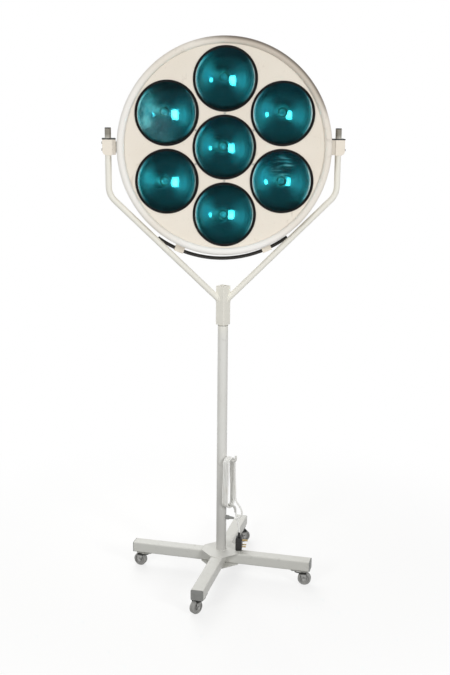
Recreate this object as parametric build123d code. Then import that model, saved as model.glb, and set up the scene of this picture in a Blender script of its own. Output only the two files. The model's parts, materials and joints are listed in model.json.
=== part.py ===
"""Seven-lens surgical lamp on a four-legged caster stand.

Millimetres, +Z up, floor at Z = 0, the mast's axis is the Z axis. The front leg points along -Y.
The head and its yoke are drawn facing -Y with the tilt axis along X, then turned about the mast
by YOKE_TURN, as the lamp stands in its rest posture.
"""

import math
import os

from build123d import *

# Base
BASE_REACH = 350.0
LEG_WIDTH = 47.0
LEG_HEIGHT = 40.0
LEG_WALL = 2.0
LEG_CORNER = 5.0
LEG_CAP = 3.0
LEG_CAP_PLUG = 10.0
LEG_CAP_EDGE = 1.5
HUB_PLATE = 3.0
HUB_REACH = 72.0
HUB_FLOOR = 5.0

# Casters
WHEEL_DIAMETER = 50.0
WHEEL_WIDTH = 20.0
WHEEL_EDGE = 4.0
WHEEL_DISH = 3.0
WHEEL_DISH_DIAMETER = 36.0
WHEEL_HUB_DIAMETER = 16.0
AXLE_DIAMETER = 8.0
CASTER_INSET = 43.0
CASTER_TRAIL = 20.0
CASTER_PLATE = 3.0
CASTER_PLATE_CORNER = 5.0
CASTER_PLATE_LENGTH = 60.0
CASTER_PLATE_WIDTH = 44.0
CASTER_RACE_DIAMETER = 36.0
CASTER_RACE_HEIGHT = 5.0
FORK_SHEET = 2.5
FORK_GAP = 1.2
FORK_CROWN_DIAMETER = 38.0
FORK_CHEEK_RADIUS = 8.0
RIVET_HEAD = 13.0
RIVET_HEAD_HEIGHT = 2.5
KINGPIN_DIAMETER = 9.0
KINGPIN_HEAD_DIAMETER = 15.0
KINGPIN_HEAD = 3.0
CASTER_SCREW = 5.0
CASTER_SCREW_HEAD = 9.0
CASTER_SCREW_HEAD_HEIGHT = 2.5
CASTER_NUT = 8.0
CASTER_NUT_HEIGHT = 4.0
CASTER_SCREW_X = 23.0
CASTER_SCREW_Y = 13.0
# direction in which each wheel trails behind its swivel, in degrees about Z
CASTER_TURNS = {"front": -120.0, "right": 5.0, "back": 35.0, "left": 172.0}

# Mast and its swivel
MAST_DIAMETER = 38.1
MAST_WALL = 2.0
MAST_TOP = 990.0
FOOT_PLUG_LENGTH = 30.0
MAST_BOLT = 10.0
MAST_BOLT_HEAD = 17.0
MAST_BOLT_HEAD_HEIGHT = 6.4
MAST_BOLT_THREAD = 25.0
MAST_WASHER = 2.0
MAST_WASHER_DIAMETER = 22.0
SPINDLE_DIAMETER = 20.0
SPINDLE_PLUG_LENGTH = 50.0
SPINDLE_FLANGE = 3.0
SPINDLE_THREAD = 12.0
SPINDLE_NUT = 18.0
SPINDLE_NUT_HEIGHT = 10.0
SPINDLE_WASHER = 2.0
SPINDLE_WASHER_DIAMETER = 24.5
THRUST_WASHER = 2.0
THRUST_WASHER_DIAMETER = 37.0

# Yoke
YOKE_TURN = 20.0
SOCKET_WIDTH = 38.0
SOCKET_TURN = 45.0
SOCKET_HEIGHT = 143.0
SOCKET_BORE = 26.0
SOCKET_EDGE = 2.0
BUSH_LENGTH = 25.0
UPPER_BUSH_DROP = 51.0
ARM_DIAMETER = 22.0
ARM_WALL = 2.0
ARM_ROOT_RISE = 77.7
ARM_CLEARANCE = 13.4
HEAD_ABOVE_ROOT = 182.6
ARM_BEND = 70.0
ARM_ABOVE_PIVOT = 64.0
ARM_CAP = 3.0
ARM_CAP_PLUG = 8.0

# Pivots
BLOCK_HEIGHT = 54.0
BLOCK_DEPTH = 44.0
BLOCK_INSIDE = 14.0
BLOCK_OUTSIDE = 20.0
BLOCK_ROUND = 15.0
BLOCK_RISE = 27.0
BEARING_LENGTH = 12.0
BEARING_GAP = 0.5
BEARING_INSET = 1.5
TOP_PLATE = 3.5
TOP_PLATE_OVER = 1.5
TOP_PLATE_CORNER = 3.0
PIVOT_SHAFT = 20.0
PIVOT_SCREW = 5.0
PIVOT_SCREW_HEAD = 8.5
PIVOT_SCREW_HEAD_HEIGHT = 3.0
PIVOT_SCREW_BITE = 7.0
PIVOT_SCREW_EDGE = 5.5
PIVOT_SCREW_UP = 14.0
PIVOT_SCREW_DOWN = 8.0
SHAFT_FLANGE_DIAMETER = 44.0
SHAFT_FLANGE = 6.0
SHAFT_PAD = 12.0
FRICTION_WASHER_DIAMETER = 38.0
FRICTION_WASHER = 2.2
SHAFT_TAIL = 26.0
WIRE_BORE = 9.0

# Head
RIM_SECTION = 13.0
RIM_WALL = 1.2
RIM_PLANE = -35.0
SHEET = 1.5
PLATE_MARGIN = 30.0
LENS_GAP = 9.0
LENS_AIM = 8.0
LENS_COUNT = 6
SHELL_INSET = 6.0
SHELL_SIDE_BACK = 52.0
SHELL_DEPTH = 140.0
SHELL_ROUND = 24.0
SHELL_TUCK = 6.0

# Lens units
GLASS_RADIUS = 107.0
GASKET_LIP = 2.0
GASKET_WEB = 1.5
GASKET_RING = 6.0
GASKET_FRONT = 2.5
GLASS_THICKNESS = 4.0
GLASS_CROWN = 3.0
GASKET_BACK = 4.5
REFLECTOR_WALL = 1.2
REFLECTOR_INSET = 5.0
REFLECTOR_DEPTH = 54.0
REFLECTOR_NECK = 17.0
BULB_RADIUS = 11.0
BULB_LENGTH = 38.0
BULB_CAP_RADIUS = 8.0
BULB_CAP_LENGTH = 16.0
HOLDER_FLANGE_RADIUS = 20.0
HOLDER_RADIUS = 15.0
HOLDER_LENGTH = 24.0
HOLDER_FLANGE = 3.0
LENS_SCREW = 4.0
LENS_SCREW_HEAD = 6.5
LENS_SCREW_HEAD_HEIGHT = 2.2
LENS_SCREW_LENGTH = 8.0

# Hand rail
RAIL_STANDOFF = 26.0
RAIL_DIAMETER = 13.0
RAIL_HALF_ANGLE = 36.0
RAIL_PLANE = 23.0
RAIL_BRACKET_ANGLE = 23.5
RAIL_BRACKET_WIDTH = 34.0
RAIL_BRACKET_DEPTH = 20.0
RAIL_BRACKET_OVER = 3.0
RAIL_BRACKET_ROUND = 7.0

# Switch and terminal block
SWITCH_DROP = 230.0
SWITCH_WIDTH = 28.0
SWITCH_HEIGHT = 21.0
SWITCH_BEZEL = 2.0
SWITCH_BODY_DEPTH = 20.0
SWITCH_WALL = 4.0
ROCKER_GAP = 0.5
ROCKER_RISE = 4.0
ROCKER_HOLLOW = 1.6
ROCKER_PIN = 2.0
ROCKER_PIN_REACH = 1.8
TERMINAL_LENGTH = 60.0
TERMINAL_HEIGHT = 18.0
TERMINAL_DEPTH = 20.0

# Cord
CORD_DIAMETER = 6.5
HANK_TURNS = 4
HANK_PITCH = 7.1
HANK_HALF_WIDTH = 20.0
HANK_TOP = 466.0
HANK_BOTTOM = 310.0
HANK_START = 330.0
HANK_STANDOFF = 0.6
HANK_SHIFT_LENGTH = 60.0
HANK_DIRECTION = -25.0
HOOK_DIAMETER = 8.0
HOOK_TIP = 22.0
HOOK_BEND = 9.0
GLAND_HEIGHT = 240.0
GLAND_DIRECTION = -4.0
GLAND_DIAMETER = 17.0
GLAND_SPIGOT = 12.0
GLAND_LENGTH = 12.0
BOOT_LENGTH = 20.0
BOOT_ROOT_DIAMETER = 12.5
BOOT_TIP_DIAMETER = 8.5
PLUG_X = 66.0
PLUG_Y = 21.0
PLUG_HEIGHT = 48.0
PLUG_THICKNESS = 25.0
PLUG_WIDTH = 46.0
PLUG_ROUND = 4.0
PLUG_SHOULDER = 9.0
PLUG_TURN = 8.0
PLUG_PIN_EARTH = 7.06
PLUG_PIN_EARTH_LENGTH = 20.6
PLUG_PIN = 5.08
PLUG_PIN_LENGTH = 14.9
PLUG_PIN_SPREAD = 19.05
PLUG_PIN_EARTH_RISE = 35.2
PLUG_PIN_RISE = 13.0

# Fits
RUNNING_FIT = 0.05
SEAT_GAP = 0.3

# Places worked out from the sizes above
WHEEL_RADIUS = WHEEL_DIAMETER / 2
FORK_UNDER = WHEEL_DIAMETER + FORK_GAP
FORK_TOP = FORK_UNDER + FORK_SHEET
PLATE_UNDER = FORK_TOP + SEAT_GAP + CASTER_RACE_HEIGHT
LEG_BOTTOM = PLATE_UNDER + CASTER_PLATE
LEG_TOP = LEG_BOTTOM + LEG_HEIGHT
LEG_END = BASE_REACH - LEG_CAP
HUB_TOP = LEG_TOP + HUB_PLATE
HUB_UNDER = LEG_BOTTOM - HUB_PLATE
MAST_FOOT = LEG_BOTTOM + HUB_FLOOR
MAST_BORE = MAST_DIAMETER - 2 * MAST_WALL
SWIVEL_RADIUS = BASE_REACH - CASTER_INSET
CHEEK_INNER = WHEEL_WIDTH / 2 + FORK_GAP
CHEEK_OUTER = CHEEK_INNER + FORK_SHEET
SOCKET_BOTTOM = MAST_TOP + SPINDLE_FLANGE + THRUST_WASHER
SOCKET_TOP = SOCKET_BOTTOM + SOCKET_HEIGHT
UPPER_BUSH_TOP = SOCKET_TOP - UPPER_BUSH_DROP + BUSH_LENGTH
SPINDLE_SHOULDER = UPPER_BUSH_TOP + SEAT_GAP
GASKET_LIP_RADIUS = GLASS_RADIUS - GASKET_LIP
HOLE_RADIUS = GLASS_RADIUS + GASKET_WEB
GASKET_RADIUS = GLASS_RADIUS + GASKET_RING
REFLECTOR_RADIUS = GLASS_RADIUS - REFLECTOR_INSET
LENS_PITCH = 2 * GASKET_RADIUS + LENS_GAP
HEAD_RADIUS = LENS_PITCH + GASKET_RADIUS + PLATE_MARGIN
SHELL_RADIUS = HEAD_RADIUS - SHELL_INSET
RAIL_RADIUS = SHELL_RADIUS + RAIL_STANDOFF
RIM_RADIUS = HEAD_RADIUS - RIM_SECTION
FLANGE_OUTER = SHELL_RADIUS + SHAFT_FLANGE
BEARING_INNER = FLANGE_OUTER + SEAT_GAP + FRICTION_WASHER
BEARING_OUTER = BEARING_INNER + BEARING_LENGTH
BLOCK_INNER = BEARING_OUTER + BEARING_GAP
ARM_SPREAD = BLOCK_INNER + BLOCK_INSIDE
BLOCK_OUTER = ARM_SPREAD + BLOCK_OUTSIDE
PIVOT_SCREW_END = BEARING_OUTER - PIVOT_SCREW_BITE
PIVOT_SCREW_Y = BLOCK_DEPTH / 2 - PIVOT_SCREW_EDGE
ARM_ROOT_Z = SOCKET_BOTTOM + ARM_ROOT_RISE
PIVOT_HEIGHT = ARM_ROOT_Z + HEAD_RADIUS + HEAD_ABOVE_ROOT
ARM_TOP = PIVOT_HEIGHT + ARM_ABOVE_PIVOT
BLOCK_TOP = PIVOT_HEIGHT + BLOCK_RISE
BLOCK_BOTTOM = BLOCK_TOP - BLOCK_HEIGHT
ARM_REACH = HEAD_RADIUS + ARM_CLEARANCE + ARM_DIAMETER / 2
ARM_SLOPE = math.acos(ARM_REACH / (PIVOT_HEIGHT - ARM_ROOT_Z))
ARM_ELBOW_Z = ARM_ROOT_Z + ARM_SPREAD * math.tan(ARM_SLOPE)
AIM = math.radians(LENS_AIM)
DISH_RADIUS = LENS_PITCH / math.sin(AIM)
PLATE_EDGE = RIM_RADIUS - RIM_SECTION + 2 * SHEET
DISH_CENTRE_Y = RIM_PLANE - math.sqrt(DISH_RADIUS**2 - PLATE_EDGE**2)
HOLE_PLANE_Y = DISH_CENTRE_Y + math.sqrt(DISH_RADIUS**2 - HOLE_RADIUS**2)
LENS_FRONT_Y = HOLE_PLANE_Y - GASKET_FRONT + REFLECTOR_WALL
REFLECTOR_SEAT_Y = HOLE_PLANE_Y + GASKET_BACK
HOLDER_FRONT_Y = REFLECTOR_SEAT_Y + REFLECTOR_DEPTH
DOME_DROP = SHELL_DEPTH - SHELL_SIDE_BACK
DOME_RADIUS = (SHELL_RADIUS**2 + DOME_DROP**2) / (2 * DOME_DROP)
DOME_CENTRE_Y = SHELL_DEPTH - DOME_RADIUS
SWITCH_LEAN = math.degrees(math.asin(SWITCH_DROP / DOME_RADIUS))
SWITCH_Y = DOME_CENTRE_Y + math.sqrt(DOME_RADIUS**2 - SWITCH_DROP**2)
HANK_INNER = MAST_DIAMETER / 2 + HANK_STANDOFF + CORD_DIAMETER / 2
HANK_OUTER = HANK_INNER + HANK_TURNS * HANK_PITCH
HOOK_OFFSET = HANK_HALF_WIDTH - CORD_DIAMETER / 2 - HOOK_DIAMETER / 2 - SEAT_GAP
GLAND_TIP = MAST_DIAMETER / 2 + GLAND_LENGTH
GLAND_BOOT_TIP = GLAND_TIP + BOOT_LENGTH
PLUG_BOTTOM = HUB_TOP + SEAT_GAP
PLUG_TOP = PLUG_BOTTOM + PLUG_HEIGHT
PLUG_BOOT_TOP = PLUG_TOP + BOOT_LENGTH
SIDES = {"right": 1, "left": -1}
LEG_TURNS = {"right": 0.0, "back": 90.0, "left": 180.0, "front": 270.0}


def box(x0, x1, y0, y1, z0, z1):
    """Box between the given faces."""
    size = (x1 - x0, y1 - y0, z1 - z0)
    centre = ((x0 + x1) / 2, (y0 + y1) / 2, (z0 + z1) / 2)
    return Pos(*centre) * Box(*size)


def rod_z(diameter, z0, z1, x=0.0, y=0.0):
    """Upright cylinder from z0 to z1."""
    return Pos(x, y, (z0 + z1) / 2) * Cylinder(diameter / 2, z1 - z0)


def rod_x(diameter, x0, x1, y=0.0, z=0.0):
    """Cylinder along X from x0 to x1."""
    return Pos((x0 + x1) / 2, y, z) * Rot(0, 90, 0) * Cylinder(diameter / 2, x1 - x0)


def rod_y(diameter, y0, y1, x=0.0, z=0.0):
    """Cylinder along Y from y0 to y1."""
    return Pos(x, (y0 + y1) / 2, z) * Rot(90, 0, 0) * Cylinder(diameter / 2, y1 - y0)


def hexagon(across_flats, z0, z1):
    """Upright hexagonal prism, as of a nut or a bolt's head."""
    sketch = RegularPolygon(across_flats / 2, 6, major_radius=False)
    return Pos(0, 0, z0) * extrude(sketch, z1 - z0)


def group(pieces):
    """Separate solids that share one node."""
    return Compound(children=[solid for piece in pieces for solid in piece.solids()])


def revolve_y(face):
    """Full turn about the Y axis of a face drawn in the XY plane."""
    return revolve(face, Axis.Y, 360)


def mirror_side(part, side):
    return part if side > 0 else mirror(part, about=Plane.YZ)


def both_sides(part):
    return group([mirror_side(part, side) for side in SIDES.values()])


# Base


def caster_screw_places():
    """Places of the four screws of one caster plate, for the leg along +X."""
    signs = ((-1, -1), (-1, 1), (1, -1), (1, 1))
    return [(SWIVEL_RADIUS + i * CASTER_SCREW_X, j * CASTER_SCREW_Y) for i, j in signs]


def leg_section(x0, x1, inset):
    """Length of the leg's outline along +X, or of an outline set in from it."""
    half = LEG_WIDTH / 2 - inset
    section = box(x0, x1, -half, half, LEG_BOTTOM + inset, LEG_TOP - inset)
    return fillet(section.edges().filter_by(Axis.X), LEG_CORNER - inset)


def leg_tube():
    """Box-section leg along +X, open towards the hub and towards its end cap."""
    root = LEG_WIDTH / 2
    leg = leg_section(root, LEG_END, 0) - leg_section(root, LEG_END, LEG_WALL)
    for x, y in caster_screw_places():
        leg -= rod_z(CASTER_SCREW, LEG_BOTTOM, LEG_BOTTOM + LEG_WALL, x, y)
    return leg


def leg_end_cap():
    """Plastic cap with a rounded face and a plug that stands clear of the leg's walls."""
    cap = leg_section(LEG_END, BASE_REACH, 0)
    cap = fillet(cap.faces().sort_by(Axis.X)[-1].edges(), LEG_CAP_EDGE)
    return cap + leg_section(LEG_END - LEG_CAP_PLUG, LEG_END, LEG_WALL + SEAT_GAP)


def leg_end_caps():
    return group([Rot(0, 0, turn) * leg_end_cap() for turn in LEG_TURNS.values()])


def hub_block():
    """Square block that the four legs butt against, bored for the mast."""
    half = LEG_WIDTH / 2
    block = box(-half, half, -half, half, LEG_BOTTOM, LEG_TOP)
    block -= rod_z(MAST_DIAMETER, MAST_FOOT, LEG_TOP)
    return block - rod_z(MAST_BOLT, LEG_BOTTOM, MAST_FOOT)


def hub_plate(z0, z1, bore):
    """Plate whose corners are cut so that its edges bridge the legs diagonally."""
    half = LEG_WIDTH / 2
    points = []
    for quarter in range(4):
        for y in (-half, half):
            corner = Vector(HUB_REACH, y, 0).rotate(Axis.Z, 90 * quarter)
            points.append((corner.X, corner.Y))
    plate = Pos(0, 0, z0) * extrude(make_face(Polyline(*points, close=True)), z1 - z0)
    return plate - rod_z(bore, z0, z1)


def mast_foot_plug():
    """Plug fixed in the mast's foot and tapped for the bolt."""
    plug = rod_z(MAST_BORE, MAST_FOOT, MAST_FOOT + FOOT_PLUG_LENGTH)
    return plug - rod_z(MAST_BOLT, MAST_FOOT, MAST_FOOT + MAST_BOLT_THREAD)


def mast_bolt():
    """Bolt and washer under the hub, two solids."""
    seat = HUB_UNDER - MAST_WASHER
    washer = rod_z(MAST_WASHER_DIAMETER, seat, HUB_UNDER) - rod_z(MAST_BOLT, seat, HUB_UNDER)
    bolt = hexagon(MAST_BOLT_HEAD, seat - MAST_BOLT_HEAD_HEIGHT, seat)
    bolt += rod_z(MAST_BOLT, seat, MAST_FOOT + MAST_BOLT_THREAD)
    return group([washer, bolt])


# Casters


def caster_plate():
    """Fixed half of a caster on the leg along +X: top plate, race and riveted kingpin."""
    x = SWIVEL_RADIUS
    half_x = CASTER_PLATE_LENGTH / 2
    half_y = CASTER_PLATE_WIDTH / 2
    plate = box(x - half_x, x + half_x, -half_y, half_y, PLATE_UNDER, LEG_BOTTOM)
    plate = fillet(plate.edges().filter_by(Axis.Z), CASTER_PLATE_CORNER)
    for screw_x, screw_y in caster_screw_places():
        plate -= rod_z(CASTER_SCREW, PLATE_UNDER, LEG_BOTTOM, screw_x, screw_y)
    head_top = FORK_UNDER - SEAT_GAP
    plate += rod_z(CASTER_RACE_DIAMETER, FORK_TOP + SEAT_GAP, PLATE_UNDER, x)
    plate += rod_z(KINGPIN_DIAMETER, head_top, FORK_TOP + SEAT_GAP, x)
    return plate + rod_z(KINGPIN_HEAD_DIAMETER, head_top - KINGPIN_HEAD, head_top, x)


def caster_plates():
    return group([Rot(0, 0, turn) * caster_plate() for turn in LEG_TURNS.values()])


def caster_screws():
    """Four screws with their nuts at each caster."""
    pieces = []
    nut_bottom = LEG_BOTTOM + LEG_WALL
    nut_top = nut_bottom + CASTER_NUT_HEIGHT
    for turn in LEG_TURNS.values():
        for x, y in caster_screw_places():
            screw = rod_z(CASTER_SCREW_HEAD, PLATE_UNDER - CASTER_SCREW_HEAD_HEIGHT, PLATE_UNDER, x, y)
            screw += rod_z(CASTER_SCREW, PLATE_UNDER, nut_top, x, y)
            nut = Pos(x, y, 0) * hexagon(CASTER_NUT, nut_bottom, nut_top)
            nut -= rod_z(CASTER_SCREW, nut_bottom, nut_top, x, y)
            pieces += [Rot(0, 0, turn) * screw, Rot(0, 0, turn) * nut]
    return group(pieces)


def fork_cheek():
    """Side plate of a fork with its throat curved above the wheel, in the XZ plane."""
    back = FORK_SHEET - FORK_CROWN_DIAMETER / 2
    reach = CASTER_TRAIL + FORK_CHEEK_RADIUS
    foot = CASTER_TRAIL - FORK_CHEEK_RADIUS
    throat_x = foot - (foot - back) * 0.2
    throat_z = FORK_UNDER - (FORK_UNDER - WHEEL_RADIUS) * 0.35
    with BuildSketch(Plane.XZ) as cheek:
        with BuildLine():
            Line((back, FORK_TOP), (reach, FORK_TOP))
            Line((reach, FORK_TOP), (reach, WHEEL_RADIUS))
            low = (CASTER_TRAIL, WHEEL_RADIUS - FORK_CHEEK_RADIUS)
            ThreePointArc((reach, WHEEL_RADIUS), low, (foot, WHEEL_RADIUS))
            ThreePointArc((foot, WHEEL_RADIUS), (throat_x, throat_z), (back, FORK_UNDER))
            Line((back, FORK_UNDER), (back, FORK_TOP))
        make_face()
    return extrude(cheek.sketch, FORK_SHEET / 2, both=True)


def caster_fork():
    """Pressed fork with its riveted axle; it swivels at the origin and the wheel trails along +X."""
    reach = CASTER_TRAIL + FORK_CHEEK_RADIUS
    fork = rod_z(FORK_CROWN_DIAMETER, FORK_UNDER, FORK_TOP)
    fork += box(0, reach, -CHEEK_OUTER, CHEEK_OUTER, FORK_UNDER, FORK_TOP)
    offset = (CHEEK_INNER + CHEEK_OUTER) / 2
    for y in (-offset, offset):
        fork += Pos(0, y, 0) * fork_cheek()
    fork -= rod_z(KINGPIN_DIAMETER + 2 * RUNNING_FIT, FORK_UNDER, FORK_TOP)
    fork += rod_y(AXLE_DIAMETER, -CHEEK_OUTER, CHEEK_OUTER, CASTER_TRAIL, WHEEL_RADIUS)
    rivet_end = CHEEK_OUTER + RIVET_HEAD_HEIGHT
    fork += rod_y(RIVET_HEAD, -rivet_end, -CHEEK_OUTER, CASTER_TRAIL, WHEEL_RADIUS)
    return fork + rod_y(RIVET_HEAD, CHEEK_OUTER, rivet_end, CASTER_TRAIL, WHEEL_RADIUS)


def caster_wheel():
    """Tyred wheel, dished on both sides, bored to run on the axle."""
    half = WHEEL_WIDTH / 2
    wheel = rod_y(WHEEL_DIAMETER, -half, half)
    wheel = fillet(wheel.edges().filter_by(GeomType.CIRCLE), WHEEL_EDGE)
    for y0, y1 in ((-half, WHEEL_DISH - half), (half - WHEEL_DISH, half)):
        wheel -= rod_y(WHEEL_DISH_DIAMETER, y0, y1) - rod_y(WHEEL_HUB_DIAMETER, y0, y1)
    wheel -= rod_y(AXLE_DIAMETER + 2 * RUNNING_FIT, -half, half)
    return Pos(CASTER_TRAIL, 0, WHEEL_RADIUS) * wheel


def place_caster(part, name):
    """Move a part drawn about its swivel to the end of the named leg."""
    swivel = Vector(SWIVEL_RADIUS, 0, 0).rotate(Axis.Z, LEG_TURNS[name])
    return Pos(swivel.X, swivel.Y, 0) * Rot(0, 0, CASTER_TURNS[name]) * part


# Mast


def hook_heights():
    """Heights of the upper and the lower hook, each just inside the hank's bends."""
    return (HANK_TOP + HOOK_OFFSET, HANK_BOTTOM - HOOK_OFFSET)


def mast_tube():
    """Mast with holes for the gland and the two hooks."""
    tube = rod_z(MAST_DIAMETER, MAST_FOOT, MAST_TOP) - rod_z(MAST_BORE, MAST_FOOT, MAST_TOP)
    tube -= Rot(0, 0, GLAND_DIRECTION) * rod_x(GLAND_SPIGOT, 0, MAST_DIAMETER, 0, GLAND_HEIGHT)
    for z in hook_heights():
        tube -= Rot(0, 0, HANK_DIRECTION) * rod_x(HOOK_DIAMETER, 0, MAST_DIAMETER, 0, z)
    return tube


def mast_spindle():
    """Turned plug, flange and spindle fixed in the mast's top, threaded for the nut."""
    spindle = rod_z(MAST_BORE, MAST_TOP - SPINDLE_PLUG_LENGTH, MAST_TOP)
    spindle += rod_z(MAST_DIAMETER, MAST_TOP, MAST_TOP + SPINDLE_FLANGE)
    spindle += rod_z(SPINDLE_DIAMETER, MAST_TOP + SPINDLE_FLANGE, SPINDLE_SHOULDER)
    return spindle + rod_z(SPINDLE_THREAD, SPINDLE_SHOULDER, spindle_nut_top() + SPINDLE_WASHER)


def spindle_nut_top():
    return SPINDLE_SHOULDER + SPINDLE_WASHER + SPINDLE_NUT_HEIGHT


def spindle_nut():
    """Retaining washer and nut, two solids."""
    seat = SPINDLE_SHOULDER + SPINDLE_WASHER
    washer = rod_z(SPINDLE_WASHER_DIAMETER, SPINDLE_SHOULDER, seat)
    washer -= rod_z(SPINDLE_THREAD, SPINDLE_SHOULDER, seat)
    nut = hexagon(SPINDLE_NUT, seat, spindle_nut_top()) - rod_z(SPINDLE_THREAD, seat, spindle_nut_top())
    return group([washer, nut])


def thrust_washer():
    bottom = MAST_TOP + SPINDLE_FLANGE
    washer = rod_z(THRUST_WASHER_DIAMETER, bottom, SOCKET_BOTTOM)
    return washer - rod_z(SPINDLE_DIAMETER, bottom, SOCKET_BOTTOM)


# Yoke, drawn with its arms in the XZ plane


def socket_prism(z0, z1):
    """Square prism of the socket block, set corner-on to the arms."""
    half = SOCKET_WIDTH / 2
    prism = box(-half, half, -half, half, z0, z1)
    prism = fillet(prism.edges().filter_by(Axis.Z), SOCKET_EDGE)
    return Rot(0, 0, SOCKET_TURN) * prism


def yoke_socket():
    """Block that turns on the spindle, bored right through."""
    return socket_prism(SOCKET_BOTTOM, SOCKET_TOP) - rod_z(SOCKET_BORE, SOCKET_BOTTOM, SOCKET_TOP)


def socket_bushes():
    """Two bushes between the block's bore and the spindle."""
    bushes = []
    for top in (SOCKET_BOTTOM + BUSH_LENGTH, UPPER_BUSH_TOP):
        bottom = top - BUSH_LENGTH
        bore = rod_z(SPINDLE_DIAMETER + 2 * RUNNING_FIT, bottom, top)
        bushes.append(rod_z(SOCKET_BORE, bottom, top) - bore)
    return group(bushes)


def yoke_arm(side):
    """Bent tube from the socket block's corner up through the pivot block."""
    corners = ((0, 0, ARM_ROOT_Z), (ARM_SPREAD, 0, ARM_ELBOW_Z), (ARM_SPREAD, 0, ARM_TOP))
    path = FilletPolyline(*corners, radius=ARM_BEND)
    start = Plane(origin=path @ 0, z_dir=path % 0)
    arm = sweep(start * Circle(ARM_DIAMETER / 2), path=path)
    arm -= sweep(start * Circle(ARM_DIAMETER / 2 - ARM_WALL), path=path)
    arm -= socket_prism(SOCKET_BOTTOM, SOCKET_TOP)
    arm -= box(-SOCKET_WIDTH, 0, -SOCKET_WIDTH, SOCKET_WIDTH, SOCKET_BOTTOM, SOCKET_TOP)
    arm -= rod_x(WIRE_BORE, BLOCK_INNER, ARM_SPREAD, 0, PIVOT_HEIGHT)
    return mirror_side(arm, side)


def tube_caps():
    """Plastic plugs that close the tops of the two tubes."""
    cap = rod_z(ARM_DIAMETER, ARM_TOP, ARM_TOP + ARM_CAP, ARM_SPREAD)
    cap = fillet(cap.faces().sort_by(Axis.Z)[-1].edges(), ARM_CAP / 2)
    cap += rod_z(ARM_DIAMETER - 2 * ARM_WALL, ARM_TOP - ARM_CAP_PLUG, ARM_TOP, ARM_SPREAD)
    return both_sides(cap)


def pivot_screw_places():
    """Y and Z of the screws that join each block to its bearing."""
    return [
        (PIVOT_SCREW_Y, PIVOT_HEIGHT + PIVOT_SCREW_UP),
        (-PIVOT_SCREW_Y, PIVOT_HEIGHT - PIVOT_SCREW_DOWN),
    ]


def pivot_block(side):
    """Block clamped on the tube, rounded at its lower outer corner."""
    half = BLOCK_DEPTH / 2
    block = box(BLOCK_INNER, BLOCK_OUTER, -half, half, BLOCK_BOTTOM, BLOCK_TOP)
    corner = block.edges().filter_by(Axis.Y).sort_by(Axis.X)[-2:].sort_by(Axis.Z)[0]
    block = fillet(corner, BLOCK_ROUND)
    block -= rod_z(ARM_DIAMETER, BLOCK_BOTTOM, BLOCK_TOP, ARM_SPREAD)
    block -= rod_x(WIRE_BORE, BLOCK_INNER, ARM_SPREAD, 0, PIVOT_HEIGHT)
    for y, z in pivot_screw_places():
        block -= rod_x(PIVOT_SCREW, BLOCK_INNER, BLOCK_OUTER, y, z)
    return mirror_side(block, side)


def pivot_bearings():
    """Housings beside the blocks that carry the head's shafts."""
    half = BLOCK_DEPTH / 2 - BEARING_INSET
    bottom = BLOCK_BOTTOM + BEARING_INSET
    bearing = box(BEARING_INNER, BEARING_OUTER, -half, half, bottom, BLOCK_TOP)
    bearing -= rod_x(PIVOT_SHAFT + 2 * RUNNING_FIT, BEARING_INNER, BEARING_OUTER, 0, PIVOT_HEIGHT)
    for y, z in pivot_screw_places():
        bearing -= rod_x(PIVOT_SCREW, PIVOT_SCREW_END, BEARING_OUTER, y, z)
    return both_sides(bearing)


def pivot_top_plates():
    """Dark plates on the blocks and bearings, with a hole for the tube."""
    half = BLOCK_DEPTH / 2 + TOP_PLATE_OVER
    top = BLOCK_TOP + TOP_PLATE
    plate = box(BEARING_INNER, BLOCK_OUTER + TOP_PLATE_OVER, -half, half, BLOCK_TOP, top)
    plate = fillet(plate.edges().filter_by(Axis.Z), TOP_PLATE_CORNER)
    return both_sides(plate - rod_z(ARM_DIAMETER, BLOCK_TOP, top, ARM_SPREAD))


def pivot_screws():
    """Screws that pass through the blocks into the bearings."""
    screws = []
    for y, z in pivot_screw_places():
        screw = rod_x(PIVOT_SCREW_HEAD, BLOCK_OUTER, BLOCK_OUTER + PIVOT_SCREW_HEAD_HEIGHT, y, z)
        screws.append(screw + rod_x(PIVOT_SCREW, PIVOT_SCREW_END, BLOCK_OUTER, y, z))
    return both_sides(group(screws))


def friction_washers():
    """Fibre washers on the shafts between the head's flanges and the bearings."""
    start = BEARING_INNER - FRICTION_WASHER
    washer = rod_x(FRICTION_WASHER_DIAMETER, start, BEARING_INNER, 0, PIVOT_HEIGHT)
    washer -= rod_x(PIVOT_SHAFT + 2 * RUNNING_FIT, start, BEARING_INNER, 0, PIVOT_HEIGHT)
    return both_sides(washer)


# Head, drawn about its tilt axis at the origin and facing -Y


def dish_y(radius, inset=0.0):
    """Y of the dish's front, or of a surface set back by inset, at a distance from the axis."""
    return DISH_CENTRE_Y + math.sqrt((DISH_RADIUS + inset) ** 2 - radius**2)


def swung(part, aim):
    """Six copies of a part, swung about the dish's centre by the angle aim."""
    copies = []
    for index in range(LENS_COUNT):
        angle = math.radians(90 + index * 360 / LENS_COUNT)
        axis = Axis((0, DISH_CENTRE_Y, 0), (math.sin(angle), 0, -math.cos(angle)))
        copies.append(part.rotate(axis, aim))
    return copies


def each_lens(part):
    """Middle part and its copies on the ring."""
    return [part] + swung(part, LENS_AIM)


def each_screw(part):
    """Copies at the middles of the narrow gaps between the middle lens and the ring."""
    return swung(part, LENS_AIM / 2)


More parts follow.
